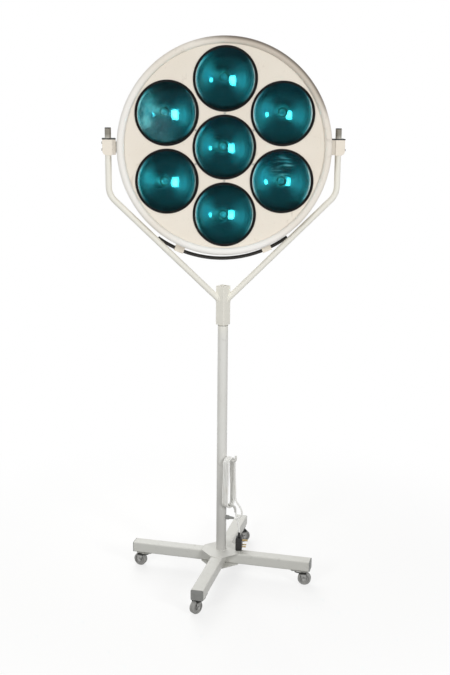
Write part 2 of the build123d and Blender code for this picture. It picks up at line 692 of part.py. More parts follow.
def front_plate():
    """Dished sheet with seven round holes and six screw holes."""
    edge = PLATE_EDGE
    with BuildSketch() as section:
        with BuildLine():
            ThreePointArc((0, dish_y(0)), (edge / 2, dish_y(edge / 2)), (edge, dish_y(edge)))
            Line((edge, dish_y(edge)), (edge, dish_y(edge, SHEET)))
            back_mid = (edge / 2, dish_y(edge / 2, SHEET))
            ThreePointArc((edge, dish_y(edge, SHEET)), back_mid, (0, dish_y(0, SHEET)))
            Line((0, dish_y(0, SHEET)), (0, dish_y(0)))
        make_face()
    plate = revolve_y(section.sketch)
    hole = rod_y(2 * HOLE_RADIUS, HOLE_PLANE_Y - RIM_SECTION, HOLE_PLANE_Y + RIM_SECTION)
    for cut in each_lens(hole):
        plate -= cut
    screw_hole = rod_y(LENS_SCREW, HOLE_PLANE_Y - RIM_SECTION, HOLE_PLANE_Y + RIM_SECTION)
    for cut in each_screw(screw_hole):
        plate -= cut
    return plate


def rim_solid(inset):
    return revolve_y(Pos(RIM_RADIUS, RIM_PLANE) * Circle(RIM_SECTION - inset))


def rim():
    """Rolled hollow ring with a slot that takes the front plate's edge."""
    slot_front = dish_y(PLATE_EDGE)
    slot_back = dish_y(RIM_RADIUS - RIM_SECTION, SHEET)
    slot = rod_y(2 * PLATE_EDGE, slot_front, slot_back)
    return rim_solid(0) - rim_solid(RIM_WALL) - slot


def shell_solid(inset):
    """Outer form of the back shell, or of its inside: a straight side, a shoulder and a dome."""
    radius = SHELL_RADIUS - inset
    start = RIM_PLANE + SHELL_TUCK
    dome = DOME_RADIUS - inset

    def dome_y(x):
        return DOME_CENTRE_Y + math.sqrt(dome**2 - x**2)

    with BuildSketch() as section:
        with BuildLine():
            Line((0, start), (radius, start))
            Line((radius, start), (radius, dome_y(radius)))
            ThreePointArc((radius, dome_y(radius)), (radius / 2, dome_y(radius / 2)), (0, dome_y(0)))
            Line((0, dome_y(0)), (0, start))
        make_face()
        shoulder = section.vertices().sort_by_distance((radius, dome_y(radius)))[0]
        fillet(shoulder, SHELL_ROUND - inset)
    return revolve_y(section.sketch)


def back_shell():
    """Spun sheet shell, welded to the back of the rim, with holes for the shafts and switch."""
    shell = shell_solid(0) - shell_solid(SHEET) - rim_solid(0)
    shell -= rod_x(PIVOT_SHAFT, -SHELL_RADIUS - SHEET, SHELL_RADIUS + SHEET)
    return shell - switch_box(-SWITCH_BODY_DEPTH, SWITCH_BODY_DEPTH, 0)


def gasket():
    """Rubber ring with one groove for the plate's hole and one for the glass."""
    front = HOLE_PLANE_Y - GASKET_FRONT
    points = [
        (GASKET_LIP_RADIUS, front),
        (GASKET_RADIUS, front),
        (GASKET_RADIUS, dish_y(GASKET_RADIUS)),
        (HOLE_RADIUS, HOLE_PLANE_Y),
        (HOLE_RADIUS, dish_y(HOLE_RADIUS, SHEET)),
        (GASKET_RADIUS, dish_y(GASKET_RADIUS, SHEET)),
        (GASKET_RADIUS, REFLECTOR_SEAT_Y),
        (GASKET_LIP_RADIUS, REFLECTOR_SEAT_Y),
        (GASKET_LIP_RADIUS, LENS_FRONT_Y + GLASS_THICKNESS),
        (GLASS_RADIUS, LENS_FRONT_Y + GLASS_THICKNESS),
        (GLASS_RADIUS, LENS_FRONT_Y),
        (GASKET_LIP_RADIUS, LENS_FRONT_Y),
    ]
    return revolve_y(make_face(Polyline(*points, close=True)))


def lens_glass():
    """Round glass, flat behind and slightly crowned in front."""
    front = LENS_FRONT_Y
    back = front + GLASS_THICKNESS
    lip = GASKET_LIP_RADIUS
    crown = (lip**2 + GLASS_CROWN**2) / (2 * GLASS_CROWN)
    crown_mid = (lip / 2, front - GLASS_CROWN + crown - math.sqrt(crown**2 - (lip / 2) ** 2))
    with BuildSketch() as section:
        with BuildLine():
            Line((0, back), (GLASS_RADIUS, back))
            Line((GLASS_RADIUS, back), (GLASS_RADIUS, front))
            Line((GLASS_RADIUS, front), (lip, front))
            ThreePointArc((lip, front), crown_mid, (0, front - GLASS_CROWN))
            Line((0, front - GLASS_CROWN), (0, back))
        make_face()
    return revolve_y(section.sketch)


def reflector():
    """Spun reflector with a front flange that seats on the gasket and a neck for the holder."""
    seat = REFLECTOR_SEAT_Y
    wall = REFLECTOR_WALL
    flange = GASKET_RADIUS - wall
    bend = (0.62 * REFLECTOR_RADIUS, seat + 0.66 * REFLECTOR_DEPTH)
    outer_bend = (bend[0] + 0.7 * wall, bend[1] + 0.7 * wall)
    neck = REFLECTOR_NECK
    with BuildSketch() as section:
        with BuildLine():
            Line((REFLECTOR_RADIUS, seat), (flange, seat))
            Line((flange, seat), (flange, seat + wall))
            Line((flange, seat + wall), (REFLECTOR_RADIUS + wall, seat + wall))
            ThreePointArc((REFLECTOR_RADIUS + wall, seat + wall), outer_bend, (neck, HOLDER_FRONT_Y))
            Line((neck, HOLDER_FRONT_Y), (neck - wall, HOLDER_FRONT_Y - wall))
            ThreePointArc((neck - wall, HOLDER_FRONT_Y - wall), bend, (REFLECTOR_RADIUS, seat))
        make_face()
    return revolve_y(section.sketch)


def bulb():
    """Capsule bulb whose cap stands in the holder."""
    glass_front = HOLDER_FRONT_Y - BULB_LENGTH
    glass = rod_y(2 * BULB_RADIUS, glass_front + BULB_RADIUS, HOLDER_FRONT_Y)
    glass += Pos(0, glass_front + BULB_RADIUS, 0) * Sphere(BULB_RADIUS)
    return glass + rod_y(2 * BULB_CAP_RADIUS, HOLDER_FRONT_Y, HOLDER_FRONT_Y + BULB_CAP_LENGTH)


def lampholder():
    """Holder behind the reflector, with a flange against its neck and a socket for the cap."""
    front = HOLDER_FRONT_Y
    holder = rod_y(2 * HOLDER_FLANGE_RADIUS, front, front + HOLDER_FLANGE)
    holder += rod_y(2 * HOLDER_RADIUS, front, front + HOLDER_LENGTH)
    return holder - rod_y(2 * BULB_CAP_RADIUS, front, front + BULB_CAP_LENGTH)


def lens_screws():
    """Self-tapping screws whose heads seat squarely on the dish."""
    front = dish_y(LENS_SCREW_HEAD / 2)
    screw = rod_y(LENS_SCREW_HEAD, front - LENS_SCREW_HEAD_HEIGHT, front)
    screw += rod_y(LENS_SCREW, front, front + LENS_SCREW_LENGTH)
    return group(each_screw(screw))


def pivot_shafts():
    """Hollow shafts with flanges that fit the shell's round side."""
    reach = SHELL_RADIUS - SHAFT_TAIL
    half = SHAFT_FLANGE_DIAMETER
    shaft = rod_x(SHAFT_FLANGE_DIAMETER, SHELL_RADIUS - SHAFT_FLANGE, FLANGE_OUTER)
    shaft -= rod_y(2 * SHELL_RADIUS, -half, half)
    shaft += rod_x(PIVOT_SHAFT, reach, BEARING_OUTER - SEAT_GAP)
    return both_sides(shaft - rod_x(WIRE_BORE, reach, BEARING_OUTER))


def shaft_pads():
    """Pads inside the shell that hold the shafts' inner ends."""
    inner = SHELL_RADIUS - SHEET
    half = SHAFT_FLANGE_DIAMETER
    pad = rod_x(SHAFT_FLANGE_DIAMETER, inner - SHAFT_PAD, inner + SHEET)
    pad &= rod_y(2 * inner, -half, half)
    return both_sides(pad - rod_x(PIVOT_SHAFT, inner - SHAFT_PAD, inner + SHEET))


def hand_rail():
    """Round bar bent to an arc about the head's axis."""
    points = []
    for turn in (-RAIL_HALF_ANGLE, 0, RAIL_HALF_ANGLE):
        angle = math.radians(turn)
        points.append((RAIL_RADIUS * math.sin(angle), RAIL_PLANE, -RAIL_RADIUS * math.cos(angle)))
    path = ThreePointArc(*points)
    start = Plane(origin=path @ 0, z_dir=path % 0)
    return sweep(start * Circle(RAIL_DIAMETER / 2), path=path)


def rail_bracket():
    """Bracket on the shell's side that closes round the rail, drawn at the bottom."""
    half = RAIL_BRACKET_WIDTH / 2
    outer = RAIL_RADIUS + RAIL_DIAMETER / 2 + RAIL_BRACKET_OVER
    low = RAIL_PLANE - RAIL_BRACKET_DEPTH / 2
    high = RAIL_PLANE + RAIL_BRACKET_DEPTH / 2
    bracket = box(-half, half, low, high, -outer, RIM_SECTION - SHELL_RADIUS)
    edges = bracket.edges().filter_by(Axis.X).sort_by(Axis.Z)[:2]
    bracket = fillet(edges, RAIL_BRACKET_ROUND)
    return bracket - rod_y(2 * SHELL_RADIUS, low, high)


def rail_brackets():
    rail = hand_rail()
    turns = (-RAIL_BRACKET_ANGLE, RAIL_BRACKET_ANGLE)
    return group([Rot(0, turn, 0) * rail_bracket() - rail for turn in turns])


# Switch on the back of the dome, drawn facing +Y about its rocker's axis


def on_dome(part):
    return Pos(0, SWITCH_Y, -SWITCH_DROP) * Rot(-SWITCH_LEAN, 0, 0) * part


def switch_box(y0, y1, inset):
    """Box across the switch's body, less an inset all round."""
    half_x = SWITCH_WIDTH / 2 - inset
    half_z = SWITCH_HEIGHT / 2 - inset
    return on_dome(box(-half_x, half_x, y0, y1, -half_z, half_z))


def rocker_pin(fit):
    reach = SWITCH_WIDTH / 2 - SWITCH_WALL + ROCKER_PIN_REACH + fit
    return on_dome(rod_x(ROCKER_PIN + 2 * fit, -reach, reach))


def switch_body():
    """Body snapped into the shell, with a bezel and a well for the rocker."""
    body = switch_box(-SWITCH_BODY_DEPTH, SWITCH_BEZEL, 0)
    body += switch_box(0, SWITCH_BEZEL, -SWITCH_BEZEL)
    body -= switch_box(-SWITCH_BODY_DEPTH / 2, SWITCH_BEZEL, SWITCH_WALL)
    return body - rocker_pin(RUNNING_FIT)


def switch_rocker():
    """Key that tips about its pins, with a round underside and a hollowed face."""
    half_x = SWITCH_WIDTH / 2 - SWITCH_WALL - ROCKER_GAP
    half_z = SWITCH_HEIGHT / 2 - SWITCH_WALL - ROCKER_GAP
    with BuildSketch(Plane.YZ) as profile:
        with BuildLine():
            ThreePointArc((0, half_z), (-half_z, 0), (0, -half_z))
            Line((0, -half_z), (ROCKER_RISE, ROCKER_GAP - half_z))
            end = (ROCKER_RISE, half_z - ROCKER_GAP)
            ThreePointArc((ROCKER_RISE, ROCKER_GAP - half_z), (ROCKER_RISE - ROCKER_HOLLOW, 0), end)
            Line(end, (0, half_z))
        make_face()
    key = extrude(profile.sketch, half_x, both=True)
    return on_dome(key) + rocker_pin(0)


def terminal_block():
    """Block inside the dome's middle, cut to the dome."""
    half_x = TERMINAL_LENGTH / 2
    half_z = TERMINAL_HEIGHT / 2
    block = box(-half_x, half_x, SHELL_DEPTH - SHEET - TERMINAL_DEPTH, SHELL_DEPTH, -half_z, half_z)
    return block & shell_solid(SHEET)


# Cord


def cord_gland():
    """Gland screwed into the mast's side, pointing straight out."""
    blank = rod_x(GLAND_DIAMETER, 0, GLAND_TIP, 0, GLAND_HEIGHT)
    blank = chamfer(blank.faces().sort_by(Axis.X)[-1].edges(), SHEET)
    column = rod_z(MAST_DIAMETER, GLAND_HEIGHT - GLAND_DIAMETER, GLAND_HEIGHT + GLAND_DIAMETER)
    spigot = rod_x(GLAND_SPIGOT, MAST_BORE / 2, GLAND_TIP - GLAND_LENGTH / 2, 0, GLAND_HEIGHT)
    return Rot(0, 0, GLAND_DIRECTION) * (blank - column + spigot)


def boot(length):
    """Tapered strain relief along +Z from the origin."""
    cone = Cone(BOOT_ROOT_DIAMETER / 2, BOOT_TIP_DIAMETER / 2, length)
    return Pos(0, 0, length / 2) * cone


def gland_boot():
    return Rot(0, 0, GLAND_DIRECTION) * Pos(GLAND_TIP, 0, GLAND_HEIGHT) * Rot(0, 90, 0) * boot(BOOT_LENGTH)


def at_plug(part):
    """Move a part drawn about the plug's foot to its place."""
    return Pos(PLUG_X, PLUG_Y, PLUG_BOTTOM) * Rot(0, 0, PLUG_TURN) * part


def plug_body():
    """Moulded plug, upright, with its cord entry on top and its pins facing +X."""
    half_x = PLUG_THICKNESS / 2
    half_y = PLUG_WIDTH / 2
    body = box(-half_x, half_x, -half_y, half_y, 0, PLUG_HEIGHT)
    body = chamfer(body.faces().sort_by(Axis.Z)[-1].edges().filter_by(Axis.X), PLUG_SHOULDER)
    return at_plug(fillet(body.edges(), PLUG_ROUND))


def plug_pins():
    """Long earth pin above the two live pins."""
    face = PLUG_THICKNESS / 2
    earth = rod_x(PLUG_PIN_EARTH, face, face + PLUG_PIN_EARTH_LENGTH, 0, PLUG_PIN_EARTH_RISE)
    pins = [earth]
    for y in (-PLUG_PIN_SPREAD / 2, PLUG_PIN_SPREAD / 2):
        pins.append(rod_x(PLUG_PIN, face, face + PLUG_PIN_LENGTH, y, PLUG_PIN_RISE))
    return group([at_plug(pin) for pin in pins])


def plug_boot():
    return at_plug(Pos(0, 0, PLUG_HEIGHT) * boot(BOOT_LENGTH))


def at_hank(radial, across, z):
    """Point of the hank, counted outward from the mast's axis and across the hooks."""
    return Vector(radial, across, z).rotate(Axis.Z, HANK_DIRECTION)


def shift_run(radial, across, z0, z1):
    """Straight run with a gentle step of half a pitch towards the mast in its middle."""
    step = HANK_PITCH / 2
    way = 1 if z1 > z0 else -1
    half = HANK_SHIFT_LENGTH / 2
    rise = step / 2
    radius = (half**2 + rise**2) / (2 * rise)
    turn = math.atan2(half, radius - rise)
    bow = radius * (1 - math.cos(turn / 2))
    reach = radius * math.sin(turn / 2)
    start = (HANK_TOP + HANK_BOTTOM) / 2 - way * half
    end = start + way * HANK_SHIFT_LENGTH
    first = at_hank(radial, across, start)
    middle = at_hank(radial - rise, across, start + way * half)
    last = at_hank(radial - step, across, end)
    return [
        Line(at_hank(radial, across, z0), first),
        ThreePointArc(first, at_hank(radial - bow, across, start + way * reach), middle),
        ThreePointArc(middle, at_hank(radial - step + bow, across, end - way * reach), last),
        Line(last, at_hank(radial - step, across, z1)),
    ]


def bend(radial, centre_z, way, quarters):
    """Half or quarter turn of the hank over its top (way 1) or under its foot (way -1)."""
    arcs = []
    for quarter in range(quarters):
        points = []
        for part in (0, 45, 90):
            angle = math.radians(90 * quarter + part)
            across = way * HANK_HALF_WIDTH * math.cos(angle)
            points.append(at_hank(radial, across, centre_z + way * HANK_HALF_WIDTH * math.sin(angle)))
        arcs.append(ThreePointArc(*points))
    return arcs


def hank_path():
    """Loops wound on the two hooks from the outside in, as one unbroken line."""
    edges = []
    radial = HANK_OUTER
    foot = HANK_START
    for turn in range(HANK_TURNS):
        edges += shift_run(radial, HANK_HALF_WIDTH, foot, HANK_TOP)
        radial -= HANK_PITCH / 2
        edges += bend(radial, HANK_TOP, 1, 2)
        edges += shift_run(radial, -HANK_HALF_WIDTH, HANK_TOP, HANK_BOTTOM)
        radial -= HANK_PITCH / 2
        last = turn == HANK_TURNS - 1
        edges += bend(radial, HANK_BOTTOM, -1, 1 if last else 2)
        foot = HANK_BOTTOM
    start = at_hank(radial, 0, HANK_BOTTOM - HANK_HALF_WIDTH)
    end = at_hank(radial, CORD_DIAMETER, HANK_BOTTOM - HANK_HALF_WIDTH)
    edges.append(Line(start, end))
    return Wire([edge for line in edges for edge in line.edges()])


def tube_along(path):
    start = Plane(origin=path @ 0, z_dir=path % 0)
    return sweep(start * Circle(CORD_DIAMETER / 2), path=path)


def hank():
    """The hank's tube; prints the least gap between its turns."""
    path = hank_path()
    count = int(path.length / 2)
    points = [path @ (index / count) for index in range(count + 1)]
    spacing = path.length / count
    skip = int(3 * CORD_DIAMETER / spacing)
    least = min(
        (points[i] - points[j]).length
        for i in range(0, count, 2)
        for j in range(i + skip, count + 1)
    )
    print(f"hank: length {path.length:.0f}, least gap {least - CORD_DIAMETER:.2f}")
    return tube_along(path)


def cord_run(name, points):
    """Tube through hand-set points with the largest tangent arcs that the runs allow."""
    corners = [Vector(*point) for point in points]
    radii = []
    for before, corner, after in zip(corners, corners[1:], corners[2:]):
        turn = math.radians((corner - before).get_angle(after - corner))
        shorter = min((corner - before).length, (after - corner).length)
        radii.append(0.45 * shorter / math.tan(turn / 2))
    path = FilletPolyline(*corners, radius=radii)
    tube = tube_along(path)
    section = math.pi * CORD_DIAMETER**2 / 4
    print(name, "radii", [round(radius, 1) for radius in radii])
    print(name, "volume ratio", round(tube.volume / (section * path.length), 5))
    return tube


def lead_points():
    """From the gland's boot round and up to the hank; (distance from the mast's axis, height)."""
    route = [
        (GLAND_BOOT_TIP, GLAND_HEIGHT),
        (61.5, 240.0),
        (73.5, 244.6),
        (81.5, 255.5),
        (82.5, 269.5),
        (77.5, 283.5),
        (68.5, 296.5),
        (59.5, 309.0),
    ]
    end = at_hank(HANK_OUTER, HANK_HALF_WIDTH, HANK_START)
    points = [Vector(radial, 0, z).rotate(Axis.Z, GLAND_DIRECTION) for radial, z in route]
    return points + [Vector(end.X, end.Y, HANK_START - 1.3 * CORD_DIAMETER), end]


def tail_points():
    """From the foot of the hank down to the plug."""
    start = at_hank(HANK_INNER, CORD_DIAMETER, HANK_BOTTOM - HANK_HALF_WIDTH)
    next_point = at_hank(HANK_INNER, 2.85 * CORD_DIAMETER, HANK_BOTTOM - HANK_HALF_WIDTH)
    route = [
        (35.0, 17.6, 285.2),
        (42.6, 22.8, 276.2),
        (48.2, 24.2, 262.6),
        (52.4, 23.8, 246.0),
        (58.0, 23.2, 221.0),
        (63.4, 22.4, 197.0),
    ]
    end = Vector(PLUG_X, PLUG_Y, PLUG_BOOT_TOP)
    above = Vector(PLUG_X, PLUG_Y, PLUG_BOOT_TOP + 10)
    return [start, next_point] + route + [above, end]


def cord_hooks():
    """Two bent rods on the mast, the upper one turned up and the lower one turned down."""
    hooks = []
    reach = HANK_OUTER + CORD_DIAMETER / 2 + HOOK_DIAMETER / 2 + HOOK_BEND
    for z, way in zip(hook_heights(), (1, -1)):
        corners = ((MAST_BORE / 2, 0, z), (reach, 0, z), (reach, 0, z + way * HOOK_TIP))
        path = FilletPolyline(*corners, radius=HOOK_BEND)
        start = Plane(origin=path @ 0, z_dir=path % 0)
        hooks.append(Rot(0, 0, HANK_DIRECTION) * sweep(start * Circle(HOOK_DIAMETER / 2), path=path))
    return group(hooks)


# All nodes


def base_nodes():
    nodes = {f"leg_{name}": Rot(0, 0, turn) * leg_tube() for name, turn in LEG_TURNS.items()}
    nodes["leg_end_caps"] = leg_end_caps()
    nodes["hub_block"] = hub_block()
    nodes["hub_plate_top"] = hub_plate(LEG_TOP, HUB_TOP, MAST_DIAMETER)
    nodes["hub_plate_bottom"] = hub_plate(HUB_UNDER, LEG_BOTTOM, MAST_BOLT)
    nodes["mast_tube"] = mast_tube()
    nodes["mast_foot"] = mast_foot_plug()
    nodes["mast_bolt"] = mast_bolt()
    nodes["mast_spindle"] = mast_spindle()
    nodes["spindle_nut"] = spindle_nut()
    nodes["thrust_washer"] = thrust_washer()
    nodes["caster_plates"] = caster_plates()
    nodes["caster_screws"] = caster_screws()
    for name in LEG_TURNS:
        nodes[f"caster_fork_{name}"] = place_caster(caster_fork(), name)
        nodes[f"caster_wheel_{name}"] = place_caster(caster_wheel(), name)
    return nodes


def cord_nodes():
    return {
        "cord_hooks": cord_hooks(),
        "cord_gland": cord_gland(),
        "cord_boot": gland_boot(),
        "cord_lead": cord_run("lead", lead_points()),
        "cord_hank": hank(),
        "cord_tail": cord_run("tail", tail_points()),
        "plug_boot": plug_boot(),
        "plug_body": plug_body(),
        "plug_pins": plug_pins(),
    }


def yoke_nodes():
    nodes = {
        "yoke_socket": yoke_socket(),
        "socket_bushes": socket_bushes(),
        "yoke_tube_caps": tube_caps(),
        "pivot_bearings": pivot_bearings(),
        "pivot_top_plates": pivot_top_plates(),
        "pivot_screws": pivot_screws(),
        "friction_washers": friction_washers(),
    }
    for name, side in SIDES.items():
        nodes[f"yoke_arm_{name}"] = yoke_arm(side)
        nodes[f"pivot_block_{name}"] = pivot_block(side)
    return nodes


def head_nodes():
    nodes = {
        "front_plate": front_plate(),
        "rim": rim(),
        "back_shell": back_shell(),
        "lenses": group(each_lens(lens_glass())),
        "gaskets": group(each_lens(gasket())),
        "reflectors": group(each_lens(reflector())),
        "bulbs": group(each_lens(bulb())),
        "lampholders": group(each_lens(lampholder())),
        "lens_screws": lens_screws(),
        "pivot_shafts": pivot_shafts(),
        "shaft_pads": shaft_pads(),
        "hand_rail": hand_rail(),
        "rail_brackets": rail_brackets(),
        "switch_body": switch_body(),
        "switch_rocker": switch_rocker(),
        "terminal_block": terminal_block(),
    }
    return {name: Pos(0, 0, PIVOT_HEIGHT) * part for name, part in nodes.items()}


def all_nodes():
    nodes = base_nodes() | cord_nodes()
    for name, part in (yoke_nodes() | head_nodes()).items():
        nodes[name] = Rot(0, 0, YOKE_TURN) * part
    return nodes


if __name__ == "__main__":
    os.makedirs("parts", exist_ok=True)
    for node_name, node in all_nodes().items():
        export_step(node, f"parts/{node_name}.step")
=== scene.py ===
"""Looks of the seven-lens surgical lamp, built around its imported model."""
import json
import math

import bmesh
import bpy
from mathutils import Matrix, Vector
from mathutils.bvhtree import BVHTree


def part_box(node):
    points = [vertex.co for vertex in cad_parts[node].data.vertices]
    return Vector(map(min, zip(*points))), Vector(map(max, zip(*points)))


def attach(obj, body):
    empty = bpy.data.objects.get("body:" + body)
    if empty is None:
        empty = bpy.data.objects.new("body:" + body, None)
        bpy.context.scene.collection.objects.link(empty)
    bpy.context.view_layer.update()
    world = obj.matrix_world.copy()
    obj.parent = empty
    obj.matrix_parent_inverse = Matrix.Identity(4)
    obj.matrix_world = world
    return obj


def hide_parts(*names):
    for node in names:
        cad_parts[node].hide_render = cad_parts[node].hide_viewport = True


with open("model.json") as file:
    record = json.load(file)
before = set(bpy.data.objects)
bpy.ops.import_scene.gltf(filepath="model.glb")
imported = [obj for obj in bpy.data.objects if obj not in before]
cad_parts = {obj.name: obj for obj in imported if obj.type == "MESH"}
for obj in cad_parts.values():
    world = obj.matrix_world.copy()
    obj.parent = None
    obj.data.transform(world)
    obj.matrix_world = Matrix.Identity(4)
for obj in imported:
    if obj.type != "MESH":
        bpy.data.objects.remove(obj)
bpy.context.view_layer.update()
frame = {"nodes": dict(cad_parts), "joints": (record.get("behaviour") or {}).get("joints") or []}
NODES = frame["nodes"]

# Sizes in metres, as in the part
LENS_PITCH = 0.235
LENS_AIM = math.radians(8.0)
RIM_PLANE = -0.035
PLATE_EDGE = 0.355
HOLE_RADIUS = 0.1085
GASKET_FRONT = 0.0025
GASKET_BACK = 0.0045
GASKET_LIP_RADIUS = 0.105
GLASS_RADIUS = 0.107
GLASS_THICKNESS = 0.004
GLASS_CROWN = 0.003
REFLECTOR_WALL = 0.0012
REFLECTOR_RADIUS = 0.102
REFLECTOR_DEPTH = 0.054
REFLECTOR_NECK = 0.017
REFLECTOR_FLANGE_RADIUS = 0.1118
REFLECTOR_WALL_ACROSS = 0.7 * REFLECTOR_WALL
ARM_SPREAD = 0.407
CORD_DIAMETER = 0.0065

# Places worked out from them
DISH_RADIUS = LENS_PITCH / math.sin(LENS_AIM)
DISH_CENTRE_Y = RIM_PLANE - math.sqrt(DISH_RADIUS**2 - PLATE_EDGE**2)
HOLE_PLANE_Y = DISH_CENTRE_Y + math.sqrt(DISH_RADIUS**2 - HOLE_RADIUS**2)
LENS_FRONT_Y = HOLE_PLANE_Y - GASKET_FRONT + REFLECTOR_WALL
REFLECTOR_SEAT_Y = HOLE_PLANE_Y + GASKET_BACK
TILT = next(joint for joint in frame["joints"] if joint["name"] == "head_tilt")
TILT_AXIS = Vector(TILT["axis"])
PIVOT = Vector(TILT["pos_m"])
YOKE_TURN = math.atan2(TILT_AXIS.y, TILT_AXIS.x)
POST_TOP = max(corner[2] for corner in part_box("yoke_arm_left"))
POST_TOPS = [side * ARM_SPREAD * TILT_AXIS + Vector((0, 0, POST_TOP)) for side in (-1, 1)]
HEAD_PLACE = Matrix.Translation(PIVOT) @ Matrix.Rotation(YOKE_TURN, 4, "Z")

# Fineness of the meshes
ROUND_STEPS = 96
GLASS_STEPS = 24
REFLECTOR_STEPS = 32
MERGE_DISTANCE = 1e-6
SHORTEST = 1e-9
SHARP_ANGLE = math.radians(35)

# Colour sockets of a Mix node
MIX_FACTOR = 0
MIX_FIRST = 6
MIX_SECOND = 7
MIX_RESULT = 2

# Distances from a lens's axis, in metres, between which a mark comes in
EDGE_CRESCENT_RADII = (0.0970, 0.0990)
GASKET_SHADE_RADII = (0.1030, 0.1042)
DUST_LIMIT = (0.1015, 0.0965)
MIRROR_DARK_RING = (0.066, 0.090)
MIRROR_PALE_CRESCENT = (0.0930, 0.0950)
MIRROR_DARK_LOBES = (0.004, 0.038)


# Materials


def rgb(red, green, blue):
    """Linear colour of a screen colour given from 0 to 255."""
    shares = [value / 255 for value in (red, green, blue)]
    linear = [s / 12.92 if s <= 0.04045 else ((s + 0.055) / 1.055) ** 2.4 for s in shares]
    return (*linear, 1.0)


def add_node(tree, kind, **values):
    node = tree.nodes.new(kind)
    for key, value in values.items():
        setattr(node, key, value)
    return node


class Surface:
    """A material with one Principled shader, and short ways to lay patterns on it."""

    def __init__(self, name, colour, roughness, metallic=0.0):
        self.material = bpy.data.materials.new(name)
        self.material.use_nodes = True
        self.tree = self.material.node_tree
        self.shader = self.tree.nodes["Principled BSDF"]
        self.shader.inputs["Base Color"].default_value = colour
        self.shader.inputs["Roughness"].default_value = roughness
        self.shader.inputs["Metallic"].default_value = metallic
        self.place = self.add("ShaderNodeTexCoord").outputs["Object"]

    def add(self, kind, **values):
        return add_node(self.tree, kind, **values)

    def feed(self, socket, value):
        """Link an output to a socket, or set a plain number on it."""
        if isinstance(value, bpy.types.NodeSocket):
            self.tree.links.new(value, socket)
        else:
            socket.default_value = value

    def set(self, values):
        for key, value in values.items():
            self.shader.inputs[key].default_value = value

    def mapped(self, stretch=(1, 1, 1), shift=(0, 0, 0), turn=(0, 0, 0)):
        """The place on the piece, stretched, turned and shifted."""
        mapping = self.add("ShaderNodeMapping")
        self.feed(mapping.inputs["Vector"], self.place)
        mapping.inputs["Scale"].default_value = stretch
        mapping.inputs["Location"].default_value = shift
        mapping.inputs["Rotation"].default_value = turn
        return mapping.outputs["Vector"]

    def noise(self, scale, detail=3.0, stretch=(1, 1, 1), distortion=0.0):
        node = self.add("ShaderNodeTexNoise")
        self.feed(node.inputs["Vector"], self.mapped(stretch))
        node.inputs["Scale"].default_value = scale
        node.inputs["Detail"].default_value = detail
        node.inputs["Distortion"].default_value = distortion
        return node.outputs["Fac"]

    def mask(self, source, low, high):
        """0 where the source is at low and 1 where it is at high, smooth between."""
        node = self.add("ShaderNodeMapRange", interpolation_type="SMOOTHSTEP")
        self.feed(node.inputs["Value"], source)
        node.inputs["From Min"].default_value = low
        node.inputs["From Max"].default_value = high
        return node.outputs["Result"]

    def math(self, operation, first, second=0.0):
        node = self.add("ShaderNodeMath", operation=operation)
        self.feed(node.inputs[0], first)
        self.feed(node.inputs[1], second)
        return node.outputs["Value"]

    def product(self, first, *others):
        for other in others:
            first = self.math("MULTIPLY", first, other)
        return first

    def length(self, first, second):
        """Length of the line whose two sides are given."""
        squares = [self.math("POWER", value, 2.0) for value in (first, second)]
        return self.math("SQRT", self.math("ADD", *squares))

    def cloud(self, mask, amount):
        """Let less light through where the mask is, as dust and scratches do."""
        share = self.math("SUBTRACT", 1.0, self.product(mask, amount))
        self.feed(self.shader.inputs["Transmission Weight"], share)

    def slant(self, across, up):
        """0 to the sides of the centre and 1 above and below it."""
        radius = self.math("MAXIMUM", self.length(across, up), 0.001)
        return self.math("DIVIDE", self.math("ABSOLUTE", up), radius)

    def parts(self, place):
        """The X, Y and Z of a place."""
        node = self.add("ShaderNodeSeparateXYZ")
        self.feed(node.inputs["Vector"], place)
        return node.outputs

    def part(self, axis):
        """X, Y or Z of the place on the piece."""
        return self.parts(self.place)[axis]

    def near(self, point, inner, outer):
        """1 within the inner distance of a point, 0 beyond the outer one."""
        node = self.add("ShaderNodeVectorMath", operation="DISTANCE")
        self.feed(node.inputs[0], self.place)
        node.inputs[1].default_value = point
        return self.mask(node.outputs["Value"], outer, inner)

    def edges(self, width):
        """1 along the sharp edges of the piece."""
        bevel = self.add("ShaderNodeBevel", samples=6)
        bevel.inputs["Radius"].default_value = width
        normal = self.add("ShaderNodeNewGeometry").outputs["Normal"]
        node = self.add("ShaderNodeVectorMath", operation="DOT_PRODUCT")
        self.feed(node.inputs[0], bevel.outputs["Normal"])
        self.feed(node.inputs[1], normal)
        return self.mask(node.outputs["Value"], 0.985, 0.9)

    def tint(self, mask, colour, amount=1.0):
        """Blend the base colour towards another where the mask is."""
        base = self.shader.inputs["Base Color"]
        node = self.add("ShaderNodeMix", data_type="RGBA")
        if base.is_linked:
            self.feed(node.inputs[MIX_FIRST], base.links[0].from_socket)
        else:
            node.inputs[MIX_FIRST].default_value = base.default_value
        node.inputs[MIX_SECOND].default_value = colour
        self.feed(node.inputs[MIX_FACTOR], self.product(mask, amount))
        self.feed(base, node.outputs[MIX_RESULT])

    def gloss(self, mask, low, high):
        """Roughness from low to high as the mask goes from 0 to 1."""
        node = self.add("ShaderNodeMapRange")
        self.feed(node.inputs["Value"], mask)
        node.inputs["To Min"].default_value = low
        node.inputs["To Max"].default_value = high
        self.feed(self.shader.inputs["Roughness"], node.outputs["Result"])

    def bump(self, height, strength, distance):
        """Add relief to what the surface already has."""
        node = self.add("ShaderNodeBump")
        self.feed(node.inputs["Height"], height)
        node.inputs["Strength"].default_value = strength
        node.inputs["Distance"].default_value = distance
        normal = self.shader.inputs["Normal"]
        if normal.is_linked:
            self.feed(node.inputs["Normal"], normal.links[0].from_socket)
        self.feed(normal, node.outputs["Normal"])


